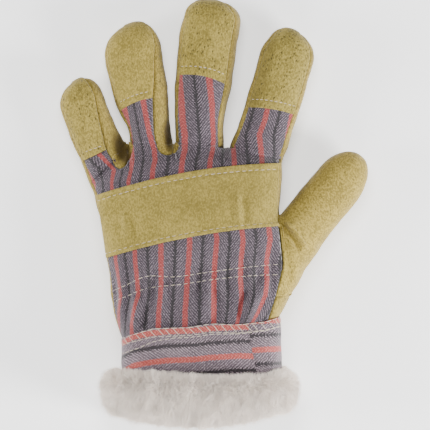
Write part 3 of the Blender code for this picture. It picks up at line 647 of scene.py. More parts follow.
def pigskin_group():
    """Pigskin: pits in cells stretched along the skin, some faint, over a short nap and slow mottling."""
    tree, take, give = new_group(
        "pigskin",
        [("Vector", "Vector"), ("Pits", "Float"), ("Nap", "Float")],
        [("Pit", "Float"), ("Nap", "Float"), ("Mottle", "Float"), ("Height", "Float")],
    )
    where = take.outputs["Vector"]
    bend = put(tree, "TexNoise", where, None, 0.25, 2.0, 0.5).outputs[1]
    bend = put(tree, "VectorMath", bend, (1.6, 1.6, 1.6), operation="MULTIPLY").outputs[0]
    bent = put(tree, "VectorMath", where, bend)
    cells = put(tree, "Mapping", bent.outputs[0], None, None, (0.60, 0.31, 0.60))
    pits = put(tree, "TexVoronoi", cells.outputs[0], None, 1.0)
    pits.inputs["Randomness"].default_value = 0.9
    chance = put(tree, "SeparateColor", pits.outputs["Color"]).outputs[0]
    deep = ramp(tree, pits.outputs["Distance"], 0.34, 0.16)
    deep = times(tree, deep, ramp(tree, chance, 0.05, 0.65, 0.25, 1.0))
    small = put(tree, "Mapping", bent.outputs[0], (7.0, 3.0, 1.0), None, (1.05, 0.62, 1.05))
    specks = put(tree, "TexVoronoi", small.outputs[0], None, 1.0)
    rare = put(tree, "SeparateColor", specks.outputs["Color"]).outputs[1]
    fleck = times(tree, ramp(tree, specks.outputs["Distance"], 0.24, 0.08), ramp(tree, rare, 0.55, 0.9))
    pit = calc(tree, "MAXIMUM", times(tree, deep, take.outputs["Pits"]), times(tree, fleck, 0.55))
    hairs = put(tree, "Mapping", where, None, None, (1.9, 1.2, 1.9))
    nap = noise(tree, hairs.outputs[0], 0.55, 4.0, 0.7)
    slow = noise(tree, where, 0.07, 3.0, 0.55)
    patchy = noise(tree, where, 0.33, 2.0, 0.5)
    mottle = plus(tree, times(tree, slow, 0.6), times(tree, patchy, 0.4))
    high = calc(tree, "SUBTRACT", times(tree, nap, take.outputs["Nap"]), times(tree, pit, 1.3))
    for name, value in (("Pit", pit), ("Nap", nap), ("Mottle", mottle), ("Height", high)):
        tree.links.new(value, give.inputs[name])
    return tree


pigskin = pigskin_group()


def leather(name, pale, dark, turn=0.0, pits=1.0, nap=0.6, pit_depth=0.88, folds_and_painted_shades=()):
    """A pigskin finish on Object coordinates, turned so that its grain runs along the piece. The places in
    its last argument are painted shade, where the colour is painted darker: their middle and half widths in
    millimetres, how far they turn, and how strong the shade is."""
    made, tree, shader = new_material(name, 0.88, sheen=0.18, sheen_rough=0.45)
    here = put(tree, "TexCoord").outputs["Object"]
    scaled = put(tree, "Mapping", here, None, (0.0, 0.0, math.radians(turn)), (1000.0,) * 3)
    skin = tree.nodes.new("ShaderNodeGroup")
    skin.node_tree = pigskin
    tree.links.new(scaled.outputs[0], skin.inputs["Vector"])
    skin.inputs["Pits"].default_value = pits
    skin.inputs["Nap"].default_value = nap
    tone = plus(tree, times(tree, skin.outputs["Mottle"], 0.40), skin.outputs["Nap"])
    colour = tint(tree, ramp(tree, tone, 0.58, 0.83), dark, pale)
    pit_colour = tuple(part * 0.32 for part in dark)
    colour = tint(tree, times(tree, skin.outputs["Pit"], pit_depth), colour, pit_colour)
    # Painted shade: inside each place of the last argument the colour is darkened towards this shade brown.
    shade = tuple(part * share for part, share in zip(dark, (0.27, 0.23, 0.16)))
    for middle, half, lean, deep in folds_and_painted_shades:
        near = put(tree, "Mapping", here, None, (0.0, 0.0, math.radians(lean)), None, vector_type="TEXTURE")
        near.inputs["Location"].default_value = [part / 1000 for part in middle]
        near.inputs["Scale"].default_value = [part / 1000 for part in half]
        away_from = put(tree, "VectorMath", near.outputs[0], operation="LENGTH").outputs[1]
        colour = tint(tree, ramp(tree, away_from, 1.3, 0.45, 0.0, deep), colour, shade)
    tree.links.new(colour, shader.inputs["Base Color"])
    bump = put(tree, "Bump", 0.6, 0.00035)
    tree.links.new(skin.outputs["Height"], bump.inputs["Height"])
    tree.links.new(bump.outputs[0], shader.inputs["Normal"])
    return made


palm_skin = leather(
    "palm_pigskin", (0.325, 0.243, 0.054), (0.165, 0.121, 0.022), pits=0.7,
    # Painted shade in the crotches on both sides of the ring finger, and on the flanks between the middle and
    # index fingers.
    folds_and_painted_shades=[
        ((-58.2, 40.4, 22.0), (5.6, 13.0, 14.0), 24.0, 0.96),
        ((-28.9, 50.2, 22.0), (3.4, 11.5, 14.0), 4.0, 0.97),
        ((17.0, 72.0, 12.0), (3.6, 40.0, 12.0), -14.0, 0.55),
        ((10.2, 92.0, 14.0), (3.0, 48.0, 12.0), -7.8, 0.45),
    ],
)

coarse = hand_columns(4, 14, 9, 3)
hand_at = np.concatenate(
    [
        [0.8, 0.9], spread(1, 2, 16, 0.5), spread(2, 7, 60, 0.5)[1:],
        spread(7, 8, 24, 0.3)[1:], spread(8, 9, 26, 0.3)[1:],
    ]
)
in_hole = (hand_at[:-1] > 1.999) & (hand_at[:-1] < 6.999)
sheets = []
for columns, side in ((fine, 0), (coarse, 1)):
    grid = hand(hand_at, columns)[side]
    col = np.arange(grid.shape[1] - 1)
    last = columns["seams"][3]
    keep = ~(in_hole[:, None] & (col >= last[2]))
    if side == 0:
        keep &= (col < columns["seams"][0][1]) | (col >= last[2])
    sheets.append(lay_out(grid, keep, side == 1, u=0.0, v=0.0))
for number in (0, 1):
    span = slice(fine["seams"][number][2], fine["seams"][number + 1][1] + 1)
    lap_at = 9 - np.outer(spread(1, 0, 14), lap_depth[span])
    sheets.append(lay_out(hand(lap_at, fine, span)[0], u=0.0, v=0.0))
for finger, seams, wide_seams in zip(FINGERS, fine["seams"], coarse["seams"]):
    rows = np.concatenate(finger_rows(finger, 24, 42, 18))
    rows = np.delete(rows, 25)
    for part in (slice(seams[0], seams[1] + 1), slice(seams[2], seams[3] + 1)):
        sheets.append(lay_out(finger_sides(finger, rows, fine["place"][part])[0], u=0.0, v=0.0))
    front = slice(wide_seams[0], wide_seams[3] + 1)
    sheets.append(lay_out(finger_sides(finger, rows, coarse["place"][front])[1], turn=True, u=0.0, v=0.0))
sheet = join(sheets)
points, corners, marks = sheet
rim = points[rim_of(points, corners)[:, 0]]
away = distance(points, rim[rim[:, 1] > -4.0])
lumps = 0.35 * wander(points[:, 0] + points[:, 2], points[:, 1], 19, 12)
lumps = lumps + 0.12 * wander(points[:, 0], points[:, 1] + points[:, 2], 7, 13)
pucker = 0.15 * np.sin(points[:, 1] * 6.283 / 4.2) * np.exp(-away / 2.0)
push = lumps * smooth(away / 4.0) + pucker - roll_in(away, 1.8, 1.9)
for hollow_x, hollow_y, wide, long, deep in ((-42.0, 115.0, 7.0, 12.0, 1.2), (-13.0, 118.5, 4.5, 11.0, 1.4)):
    near = np.exp(-(((points[:, 0] - hollow_x) / wide) ** 2) - ((points[:, 1] - hollow_y) / long) ** 2)
    push -= deep * near * smooth((away - 0.8) / 4.0) * smooth((points[:, 2] - 13.5) / 5.0)
palm = cut_panel("palm", sheet, push, 1.6, palm_skin)
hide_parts("palm_leather")

# Fingertips
# Four pieces of pigskin over the ends of the canvas. The lower edge is cut raw and topstitched to the
# canvas, and the other edges are sewn into the seams round the finger.

# Painted shade along the left flank of the index fingertip.
INDEX_SHADE = [((28.5, 88.0, 15.0), (7.0, 38.0, 40.0), -15.0, 0.42)]
cap_skins = {
    name: leather(f"fingertip_{name}", pale, dark, turn=turn, pits=pits, folds_and_painted_shades=folds_and_painted_shades)
    for name, turn, pale, dark, pits, folds_and_painted_shades in (
        ("little", -12, (0.325, 0.250, 0.054), (0.168, 0.126, 0.022), 1.0, []),
        ("ring", -5, (0.330, 0.251, 0.053), (0.180, 0.135, 0.023), 0.45, []),
        ("middle", 3, (0.302, 0.233, 0.049), (0.158, 0.119, 0.020), 1.0, []),
        ("index", 12, (0.305, 0.238, 0.052), (0.160, 0.122, 0.021), 1.0, INDEX_SHADE),
    )
}
CAP_LIFT = 0.75
STITCH_UP = {"little": 4.0, "ring": 4.2, "middle": 5.4, "index": 5.2}


def cap_relief(x, y, away_from_seam, seed):
    """Height of a fingertip's soft forms: slow lumps, and small puckers along its seams."""
    lumps = 0.28 * wander(x, y, 15, seed) + 0.08 * wander(x, y, 5, seed + 1)
    pucker = 0.13 * np.sin((y + 0.3 * x) * 6.283 / 3.9) * np.exp(-away_from_seam / 1.8)
    return lumps * smooth(away_from_seam / 5.0) + pucker - roll_in(away_from_seam, 1.9, 2.2)


for number, (finger, seams) in enumerate(zip(FINGERS, fine["seams"])):
    turns = [math.acos(-seam) for seam in finger["seams"]]
    place = -np.cos(spread(*turns, 44))
    rows = finger_rows(finger, 4, 60, 26)[1]
    back = finger_sides(finger, rows, place)[0]
    ends = np.concatenate([back[:, 0], back[:, -1]])
    sheet = join([lay_out(back, u=0.0, v=0.0, at=rows[:, None])])
    points, corners, marks = sheet
    from_seam = distance(points, ends) + 3 * smooth((marks["at"] - 0.965) / 0.035)
    from_edge = distance(points, back[0])
    from_row = np.abs(from_edge - STITCH_UP[finger["name"]])
    push = CAP_LIFT + cap_relief(points[:, 0], points[:, 1], from_seam, 20 + number)
    push -= 0.35 * np.exp(-((from_row / 0.7) ** 2)) * smooth(from_seam / 2.0)
    push -= 0.3 * np.exp(-from_edge / 0.35)
    cap = cut_panel(f"cap_{finger['name']}", sheet, push, 1.1, cap_skins[finger["name"]])
    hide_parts(f"fingertip_{finger['name']}")

# Thumb
# Pigskin with the flesh side out, sewn into a long hole in the side of the hand. It flares towards the
# palm, and a crease runs from the corner of the strap across its root.

THUMB_LENGTH = 79.5
THUMB_WIDTH = 32.5
THUMB_DEPTH = 27.0
# Sections up the thumb, as shares of its length, width and depth
THUMB_SECTIONS = np.array(
    [
        # upper edge along and out from the axis, lower edge along and out, height, depth
        (0.221, 0.550, -0.222, 0.560, 0.760, 0.940),
        (0.258, 0.550, -0.114, 0.535, 0.720, 0.960),
        (0.311, 0.545, -0.008, 0.490, 0.670, 1.000),
        (0.386, 0.535, 0.119, 0.460, 0.620, 1.000),
        (0.491, 0.530, 0.279, 0.455, 0.590, 1.000),
        (0.608, 0.515, 0.460, 0.455, 0.560, 1.000),
        (0.715, 0.500, 0.651, 0.480, 0.530, 0.980),
        (1.000, 0.490, 1.000, 0.500, 0.500, 0.960),
    ]
)
THUMB_SECTIONS *= (THUMB_LENGTH, THUMB_WIDTH, THUMB_LENGTH, THUMB_WIDTH, THUMB_DEPTH, THUMB_DEPTH / 2)
THUMB_SECTIONS = np.round(THUMB_SECTIONS, 2)
THUMB_LEAN = 37.2


def thumb_hole(columns, rows):
    """The loop round the thumb's hole, from its finger end over the top and back under, with each point's
    angle round the thumb: two sides at even angles between four corners."""
    last = columns["seams"][3]
    side = np.arange(last[2], last[3] + 1)
    turn = np.arccos(-columns["place"][side])
    corner = math.radians(40.0)
    edge = corner * (math.pi - turn) / (math.pi - turn[0])
    at = np.linspace(7.0, 2.0, rows + 1)
    over = mix(corner, math.pi - corner, np.linspace(0, 1, rows + 1))
    ends = [hand(np.array([row]), columns, side) for row in (7.0, 2.0)]
    long = hand(at, columns, slice(last[2], last[2] + 1))
    loop = np.concatenate(
        [
            ends[0][0][0][::-1], long[0][1:-1, 0], ends[1][0][0],
            ends[1][1][0][::-1][1:], long[1][::-1][1:-1, 0], ends[0][1][0][:-1],
        ]
    )
    angle = np.concatenate(
        [
            edge[::-1], over[1:-1], math.pi - edge,
            math.pi + edge[::-1][1:], math.pi + over[1:-1], 2 * math.pi - edge[:-1],
        ]
    )
    return loop, angle


def thumb_sides(at, loop, angle):
    """Loops up the thumb: a boxy ring whose upper and lower edges run along the table, rounded in to the
    tip, and near the hole a blend with the hole's own loop."""
    at = at[:, None]
    base = (loop[0, :2] + loop[len(loop) // 2, :2]) / 2
    lean = math.radians(THUMB_LEAN)
    axis = np.array([math.sin(lean), math.cos(lean)])
    side = np.array([-math.cos(lean), math.sin(lean)])
    wide = np.sign(np.cos(angle)) * np.abs(np.cos(angle)) ** (2 / 2.1)
    high = np.sign(np.sin(angle)) * np.abs(np.sin(angle)) ** (2 / 2.1)
    value = np.moveaxis(curve(at, np.linspace(0, 1, len(THUMB_SECTIONS)), THUMB_SECTIONS), -1, 0)
    upper_along, upper_out, lower_along, lower_out, rise, depth = value
    along = (upper_along + lower_along) / 2
    round_in = bow(np.clip((along / THUMB_LENGTH - 0.68) / 0.32, 0, 1), 2.1)
    out = (upper_out - lower_out) / 2 + wide * (upper_out + lower_out) / 2 * round_in
    plan = base + (along + (upper_along - lower_along) / 2 * wide)[..., None] * axis + out[..., None] * side
    ring = np.concatenate([plan, (rise + depth * round_in * high)[..., None]], axis=-1)
    keep = 1 - smooth(at / 0.19)[..., None]
    return loop * keep + ring * (1 - keep)


def thumb_relief(x, y, z):
    """Height of the thumb's forms: the sharp crease at its root with a hollow on each side, soft folds
    running down to the heel, and slow lumps."""
    crease = ridges(
        x, y,
        (2.0, [(59.5, 69.0), (64.0, 65.3), (69.5, 59.0), (76.0, 49.5)], 1.2),
        (1.2, [(61.0, 71.0), (68.0, 65.0), (77.0, 54.0), (82.0, 46.0)], 3.4),
        (-3.0, [(57.5, 67.5), (62.0, 63.0), (67.0, 56.5), (71.5, 49.0)], 2.1),
        (-1.4, [(57.0, 65.0), (61.0, 58.0), (64.0, 50.0)], 3.6),
    )
    folds_and_painted_shades = ridges(
        x, y,
        (0.55, [(66.0, 50.0), (68.0, 38.0), (66.0, 26.0)], 2.4),
        (-0.6, [(63.0, 48.0), (64.0, 36.0), (63.0, 24.0)], 2.2),
        (0.5, [(80.0, 56.0), (79.0, 45.0), (76.0, 36.0)], 2.8),
    )
    lumps = 0.30 * wander(x + 0.7 * z, y, 17, 31) + 0.10 * wander(x, y + z, 6, 32)
    return np.where(z > 15, crease + folds_and_painted_shades, 0.0) + lumps


thumb_skin = leather(
    "thumb_pigskin", (0.375, 0.279, 0.058), (0.190, 0.139, 0.023), turn=-22, pits=0.7, nap=0.7, pit_depth=0.7,
    # Painted shade along the thumb's upper left flank and at its root beside the hand.
    folds_and_painted_shades=[
        ((54.0, 19.0, 20.0), (10.0, 46.0, 50.0), -45.0, 0.30),
        ((35.0, 18.0, 20.0), (9.0, 14.0, 50.0), -45.0, 0.25),
    ],
)
loop, angle = thumb_hole(hand_columns(4, 14, 8, 3), 54)
thumb_end = 0.84 + 0.16 * np.sin(np.linspace(0, math.pi / 2, 25))[1:]
thumb_at = np.concatenate([spread(0, 0.84, 96, 0.45), thumb_end])
rings = thumb_sides(thumb_at, loop, angle)
rings = np.concatenate([rings, rings[:, :1]], axis=1)
sheet = join([lay_out(rings, u=0.0, v=0.0)])
points, corners, marks = sheet
away = distance(points, rings[0])
push = thumb_relief(*points.T) * smooth(away / 2.5) - roll_in(away, 1.5, 1.1)
thumb = cut_panel("thumb_leather", sheet, push, 1.6, thumb_skin)
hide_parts("thumb")

# Knuckle strap
# A band of split pigskin across the knuckles, cut raw along both edges and topstitched to the canvas. Its
# ends go into the side seams.

STRAP_LIFT = 1.35
STRAP_STITCHES = (6.40, 7.885)


def strap_rows(at):
    """How deep the strap is drawn in by its lower and upper stitch rows, 1 on each of them."""
    low = np.exp(-(((at - STRAP_STITCHES[0]) / 0.045) ** 2))
    high = np.exp(-(((at - STRAP_STITCHES[1]) / 0.022) ** 2))
    return low + high


def strap_relief(x, y):
    """Height of the strap's forms: slow lumps, two soft upright creases, and a shallow slanting hollow."""
    form = 0.35 * wander(x, y, 24, 41) + 0.12 * wander(x, y, 8, 42)
    form += ridges(
        x, y,
        (1.3, [(30.5, 90.0), (31.0, 80.0), (32.0, 70.0), (32.5, 60.0)], 2.0),
        (-1.2, [(34.5, 86.0), (35.5, 76.0), (36.0, 66.0)], 1.8),
        (1.2, [(-40.5, 76.0), (-38.5, 64.0), (-36.0, 52.0)], 2.0),
        (-1.0, [(-36.0, 74.0), (-34.5, 64.0), (-32.0, 54.0)], 2.2),
        (-0.5, [(-12.0, 88.0), (-8.0, 76.0), (-6.0, 64.0)], 5.0),
    )
    return form


strap_skin = leather(
    "strap_split", (0.315, 0.242, 0.053), (0.178, 0.136, 0.024), turn=4, pits=0.45, nap=0.85, pit_depth=0.55,
    # Painted shade across the middle of the strap.
    folds_and_painted_shades=[((-6.0, 12.0, 38.0), (42.0, 15.0, 40.0), 9.0, 0.09)],
)
strap_at = spread(6.0, 8.0, 64, 0.7)
grid = hand(strap_at, fine, on_back)[0]
sheet = join([lay_out(grid, u=0.0, v=0.0, at=strap_at[:, None])])
points, corners, marks = sheet
from_end = distance(points, np.concatenate([grid[:, 0], grid[:, -1]]))
from_edge = distance(points, np.concatenate([grid[0], grid[-1]]))
push = STRAP_LIFT + strap_relief(points[:, 0], points[:, 1]) * smooth(from_end / 4.0)
push -= 0.42 * strap_rows(marks["at"]) + 0.35 * np.exp(-from_edge / 0.4) + roll_in(from_end, 1.8, 1.5)
strap = cut_panel("strap", sheet, push, 1.1, strap_skin)
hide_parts("knuckle_strap")

# Cuff
# A strip of the same canvas with its stripes running round the wrist, its upper edge overlocked and laid
# over the panels of the hand, with a seam near the thumb's side where its ends meet a little out of step.

CUFF_LIFT = 1.15
CUFF_PERIOD = 18.3
# How far the cuff's upper edge lies above the wrist's line, at places across the back
CUFF_EDGE = np.array(
    [(-42, 0.6), (-34, 2.3), (-22, 4.2), (-11, 3.1), (0, 1.9), (15, 2.3), (32, -0.7), (49, -1.0), (58, 1.5)]
)


def seam_place(y):
    """Where the cuff's seam lies across the back at a height: it leans towards the thumb on its way down."""
    return 39.5 - 0.17 * (y + 6.0)


def cuff_skin(at, columns, pick=slice(None)):
    """The hand's skin below the cuff, with its upper rows moved to the strip's uneven edge, and its
    columns near the seam drawn over to lean with it."""
    top, bottom = hand(at, columns, pick)
    share = smooth((np.reshape(at, (-1, 1)) if np.ndim(at) == 1 else at) / 0.65 - 0.54)
    top[..., 1] += np.interp(top[..., 0], *CUFF_EDGE.T) * share
    bottom[..., 1] += np.interp(bottom[..., 0], CUFF_EDGE[[0, -1], 0], CUFF_EDGE[[0, -1], 1]) * share
    drawn = np.exp(-(((top[..., 0] - 41.5) / 11.0) ** 2)) * smooth((57.0 - top[..., 0]) / 7.0)
    top[..., 0] += (seam_place(top[..., 1]) - 39.5) * drawn
    return top, bottom


def cuff_stripe(x, y, on_back):
    """Which stripe lies at a point of the cuff: the distance below the red one at its upper edge, in
    periods. The red one droops towards the little finger's side."""
    places = (-45, -34, -24, -14, 4, 14, 33, 41, 60)
    level = np.interp(x, places, (-12.0, -5.3, -3.2, -1.9, -1.2, 0.0, 1.1, 0.8, 1.8))
    level = np.where(on_back, level, np.interp(x, (-41, 57), (-9.6, 5.4)))
    return (level - y) / CUFF_PERIOD


def cuff_relief(x, y, on_back):
    """Height of the cuff's forms: slow waves round it, a step at the seam, a long hollow and a fold."""
    form = 0.45 * wander(x, y * 0.8, 21, 51) + 0.15 * wander(x, y, 8, 52)
    form += np.where(on_back, 0.9 * smooth((x - seam_place(y) + 0.3) / 0.9), 0.0)
    form -= 0.6 * ridge(x, y, [(36.0, -2.0), (40.0, -14.0), (38.0, -30.0)], 3.0) * on_back
    form += 0.6 * ridge(x, y, [(-28.0, -4.0), (-31.0, -16.0), (-29.0, -30.0)], 4.0) * on_back
    return form


cuff_cloth = striped_cloth(
    "cuff_canvas",
    (0.046, 0.032, 0.041), (0.34, 0.265, 0.30),
    ((0.26, 0.036, 0.031), (0.52, 0.145, 0.115)), 0.15,
)
cuff_at = spread(0.0, 1.0, 38, 0.6)
upper, lower = cuff_skin(cuff_at, fine)
past = np.arange(upper.shape[1]) - np.abs(upper[29, :, 0] - seam_place(upper[29, :, 1])).argmin()
sheets = []
for side, skin in ((1.0, upper), (0.0, lower)):
    counted = cuff_stripe(skin[..., 0], skin[..., 1], side > 0.5)
    around = np.append(0.0, np.cumsum(np.linalg.norm(np.diff(skin[19], axis=0), axis=1))) / STRIPE_PERIOD
    sheets.append(lay_out(skin, turn=side < 0.5, u=counted, v=around, back=side, past=past * side))
sheet = join(sheets)
points, corners, marks = sheet
from_top = distance(points, np.concatenate([upper[-1], lower[-1]]))
push = CUFF_LIFT + cuff_relief(points[:, 0], points[:, 1], marks["back"] > 0.5) * smooth(from_top / 6.0 + 0.3)
push -= 0.35 * np.exp(-(((from_top - 4.6) / 0.8) ** 2)) + 0.3 * np.exp(-from_top / 0.5)
cuff = cut_panel("cuff_band", sheet, push, 0.9, cuff_cloth, step=3.7 / CUFF_PERIOD)
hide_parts("cuff")

# Stitches
# Cream polyester thread. Each stitch is a short rounded bar that dips into the cloth at both ends: one row
# along each edge of the strap, one on each fingertip, two over the wrist's elastic, and two on the cuff.


def bars(starts, ends, outs, thick, arch, sides=6, rings=7):
    """Rounded bars from starts to ends: a ring of points carried along each, as thick as a flat bow along
    it, and lifted off the surface by half a sine wave."""
    share = np.linspace(0, 1, rings)
    round_end = np.maximum(bow(2 * share - 1, 3.0), 0.0)
    run = ends - starts
    across = np.cross(run, outs)
    across /= np.linalg.norm(across, axis=1)[:, None]
    up = np.cross(across, run)
    up /= np.linalg.norm(up, axis=1)[:, None]
    middle = starts[:, None] + run[:, None] * share[:, None]
    middle = middle + up[:, None] * (arch * np.sin(math.pi * share) - 0.25 * thick)[:, None]
    angle = np.linspace(0, 2 * math.pi, sides + 1)
    radius = thick / 2 * round_end
    ring = across[:, None, None] * np.cos(angle)[:, None] + up[:, None, None] * np.sin(angle)[:, None]
    points = middle[:, :, None] + ring * radius[:, None, None]
    sheets = points.reshape(len(starts), rings, sides + 1, 3)
    number = np.arange(len(starts) * rings * (sides + 1)).reshape(len(starts), rings, sides + 1)
    low, high = number[:, :-1], number[:, 1:]
    square = np.stack([low[..., :-1], low[..., 1:], high[..., 1:], high[..., :-1]], axis=-1)
    square = square.reshape(-1, 4)[:, ::-1]
    corners = np.concatenate([square[:, [0, 1, 2]], square[:, [0, 2, 3]]])
    return sheets.reshape(-1, 3), corners, {}


def walk(path, outs, places):
    """Points and normals at distances along a path."""
    done = np.append(0.0, np.cumsum(np.linalg.norm(np.diff(path, axis=0), axis=1)))
    at = [np.column_stack([np.interp(place, done, axis) for axis in path.T]) for place in places]
    up = np.column_stack([np.interp(places[0], done, axis) for axis in outs.T])
    return at, up / np.linalg.norm(up, axis=1)[:, None], done[-1]


def stitch_row(path, outs, length, gap, thick=0.5, arch=0.18, seed=1):
    """A row of stitches of one length along a path, each a little out of line."""
    rng = np.random.default_rng(seed)
    total = np.linalg.norm(np.diff(path, axis=0), axis=1).sum()
    first = np.arange(gap, total - length, length + gap)
    at, up, _ = walk(path, outs, (first, first + length * rng.uniform(0.9, 1.05, len(first))))
    return bars(at[0], at[1] + rng.normal(0, 0.07, at[1].shape), up, thick, arch)


def on_hand(at, columns, pick, lift, skin=hand):
    """A path across the back of the hand at row numbers, one for each column, lifted, with its normals."""
    step = 0.02
    here = skin(at[None, :], columns, pick)[0][0]
    ahead = skin(at[None, :] + step, columns, pick)[0][0]
    outs = np.cross(np.gradient(here, axis=0), ahead - here)
    outs /= np.linalg.norm(outs, axis=1)[:, None]
    return here + outs * lift(here[:, 0], here[:, 1])[:, None], outs


thread, tree, shader = new_material("cream_thread", 0.75)
here = put(tree, "TexCoord").outputs["Object"]
turned = put(tree, "Mapping", here, None, (0.3, 0.2, 0.7), (1000.0,) * 3).outputs[0]
ply = put(tree, "TexWave", turned, 2.2, 1.5)
colour = tint(tree, ply.outputs[1], (0.36, 0.30, 0.22), (0.60, 0.52, 0.43))
tree.links.new(colour, shader.inputs["Base Color"])

def strap_stitch(x, y):
    """How far the strap's stitches lie off the skin."""
    return STRAP_LIFT - 0.40 + strap_relief(x, y)


def elastic_stitch(x, y):
    """How far the stitches over the elastic lie off the skin."""
    return back_relief(x, y) + 0.12


def cuff_stitch(x, y):
    """How far the overlocking lies off the skin."""
    return CUFF_LIFT + cuff_relief(x, y, True) + 0.05


middle_part = slice(on_back.start + 2, on_back.stop - 2)
count = middle_part.stop - middle_part.start
rows = []
for at, seed in zip(STRAP_STITCHES, (61, 62)):
    path, outs = on_hand(np.full(count, at), fine, middle_part, strap_stitch)
    rows.append(stitch_row(path, outs, 3.1, 0.9, thick=0.44, seed=seed))
strap_thread = make_object("strap_stitches", *join(rows)[:2], thread)

rows = []
rise_at_left = 0.42 * np.exp(-(((fine["base"][middle_part] + 0.60) / 0.23) ** 2))
for at, seed in ((3.0, 63), (4.0, 64)):
    path, outs = on_hand(at + rise_at_left, fine, middle_part, elastic_stitch)
    rows.append(stitch_row(path, outs, 3.3, 1.0, thick=0.38, arch=0.25, seed=seed))
wrist_thread = make_object("elastic_stitches", *join(rows)[:2], thread)

rows = []
for number, finger in enumerate(FINGERS):
    turns = [math.acos(-seam) for seam in finger["seams"]]
    place = -np.cos(np.linspace(turns[0] + 0.12, turns[1] - 0.12, 30))
    at = finger["cap_at"] + STITCH_UP[finger["name"]] / finger["length"] + np.array([0.0, 0.004])
    pair = finger_sides(finger, at, place)[0]
    outs = np.cross(np.gradient(pair[0], axis=0), pair[1] - pair[0])
    outs /= np.linalg.norm(outs, axis=1)[:, None]
    lift = CAP_LIFT - 0.33 + 0.28 * wander(pair[0][:, 0], pair[0][:, 1], 15, 20 + number)
    rows.append(stitch_row(pair[0] + outs * lift[:, None], outs, 2.3, 0.8, thick=0.42, seed=70 + number))
cap_thread = make_object("fingertip_stitches", *join(rows)[:2], thread)

round_cuff = slice(2, -2)
count = len(fine["place"]) - 4


def cuff_path(at):
    """A path over the back of the cuff at row numbers."""
    return on_hand(at, fine, round_cuff, cuff_stitch, cuff_skin)


edge_path, edge_outs = cuff_path(np.full(count, 0.992))
inner_path, inner_outs = cuff_path(np.full(count, 0.868))
below = np.interp(edge_path[:, 0], (-42, -33, -22, -9, 9, 27, 49), (10.8, 9.3, 7.0, 5.4, 5.6, 5.0, 4.8))
second_path, second_outs = cuff_path(1 - below / CUFF_LENGTH)
rows = [stitch_row(edge_path, edge_outs, 4.6, 0.5, thick=0.5, arch=0.1, seed=81)]
rows.append(stitch_row(inner_path, inner_outs, 4.2, 0.4, thick=0.42, arch=0.1, seed=82))
rows.append(stitch_row(second_path, second_outs, 3.4, 0.7, thick=0.45, seed=83))
rng = np.random.default_rng(84)
places = np.arange(2.0, 120.0, 5.1)
places = places + rng.uniform(-0.7, 0.7, len(places))
tops, up, total = walk(edge_path, edge_outs, (places,))
feet, _, _ = walk(inner_path, inner_outs, (places + 3.6 + rng.uniform(-0.5, 0.6, len(places)),))
near = places < total - 5
rows.append(bars(tops[0][near], feet[0][near], up[near], 0.42, 0.3))
cuff_thread = make_object("cuff_overlock", *join(rows)[:2], thread)

# Pile lining
# Acrylic pile knitted to a backing, as a sleeve inside the cuff that turns out round its edge and stands in
# soft tufts. The backing is a closed skin, and the pile is tapered strands that start on it.

COLLAR_SECTION = np.array(
    [
        # up inside the cuff, down past the mouth, out from the skin
        (24.9, 0.0, -2.6), (11.8, 0.0, -2.8), (0.0, 0.0, -3.0), (0.0, 11.5, -2.6), (0.0, 20.5, -0.5),
        (0.0, 24.0, 3.2), (0.0, 20.8, 6.2), (0.0, 14.5, 7.9), (0.0, 6.8, 8.2), (0.6, 0.0, 7.4),
        (4.2, 0.0, 5.2), (5.4, 0.0, 2.7),
    ]
)


def mouth_loop(up, columns, even):
    """The hand's outline at heights up the cuff, in even steps round it."""
    top, bottom = hand(np.asarray(up) / CUFF_LENGTH, columns)
    loops = np.concatenate([top, bottom[:, -2:0:-1]], axis=1)
    first = hand(np.array([0.0]), columns)
    first = np.concatenate([first[0][0], first[1][0][-2:0:-1]])
    steps = np.linalg.norm(np.diff(first, axis=0, append=first[:1]), axis=1)
    share = np.append(0.0, np.cumsum(steps)) / steps.sum()

    def evenly(loop):
        return np.column_stack([np.interp(even, share, np.append(axis, axis[0])) for axis in loop.T])

    return np.stack([evenly(loop) for loop in loops])


def collar_sides(section, even, columns):
    """The lining round the mouth: its section's points set off from the outline of the hand, down by less
    at the two ends of the mouth, and out square to the outline. Outside, it comes up over the cuff
    unevenly."""
    up, down, out = section.T
    loops = mouth_loop(up, columns, even)
    mouth = mouth_loop([0.0], columns, even)[0]
    span = (mouth[:, 0] - mouth[:, 0].min()) / np.ptp(mouth[:, 0])
    along = (0, 0.2, 0.35, 0.5, 0.65, 0.81, 0.85, 0.9, 0.95, 1)
    reach = np.interp(span, along, (1, 1, 0.9, 0.55, 0.5, 0.4, 0.15, 0.4, 0.8, 1))
    outer = (out > 0) & (up > 0)
    loops[outer, :, 1] = mouth[:, 1] + (loops[outer, :, 1] - mouth[:, 1]) * reach
    around = np.roll(mouth, -1, axis=0) - np.roll(mouth, 1, axis=0)
    outward = np.column_stack([-around[:, 2], np.zeros(len(mouth)), around[:, 0]])
    outward /= np.linalg.norm(outward, axis=1)[:, None]
    across = (mouth[:, 0] - (mouth[:, 0].max() + mouth[:, 0].min()) / 2) / np.ptp(mouth[:, 0]) * 2
    sag = 1 - 0.25 * across**2 - 0.06 * across
    bulge = np.where(out[:, None] > 2.8, 1 - 0.16 * across, 1.0)
    points = loops - (down[:, None] * sag)[..., None] * np.array([0.0, 1.0, 0.0])
    points = points + outward * (out[:, None] * bulge)[..., None]
    points[..., 2] = np.maximum(points[..., 2], 0.3)
    return points


fleece, tree, shader = new_material("pile_backing", 1.0, sheen=0.3)
here = put(tree, "TexCoord").outputs["Object"]
clouds = noise(tree, here, 130.0, 4.0, 0.6)
colour = tint(tree, ramp(tree, clouds, 0.3, 0.7), (0.70, 0.63, 0.57), (0.80, 0.725, 0.66))
tree.links.new(colour, shader.inputs["Base Color"])
bump = put(tree, "Bump", 0.8, 0.0012)
tree.links.new(noise(tree, here, 420.0, 4.0, 0.65), bump.inputs["Height"])
tree.links.new(bump.outputs[0], shader.inputs["Normal"])

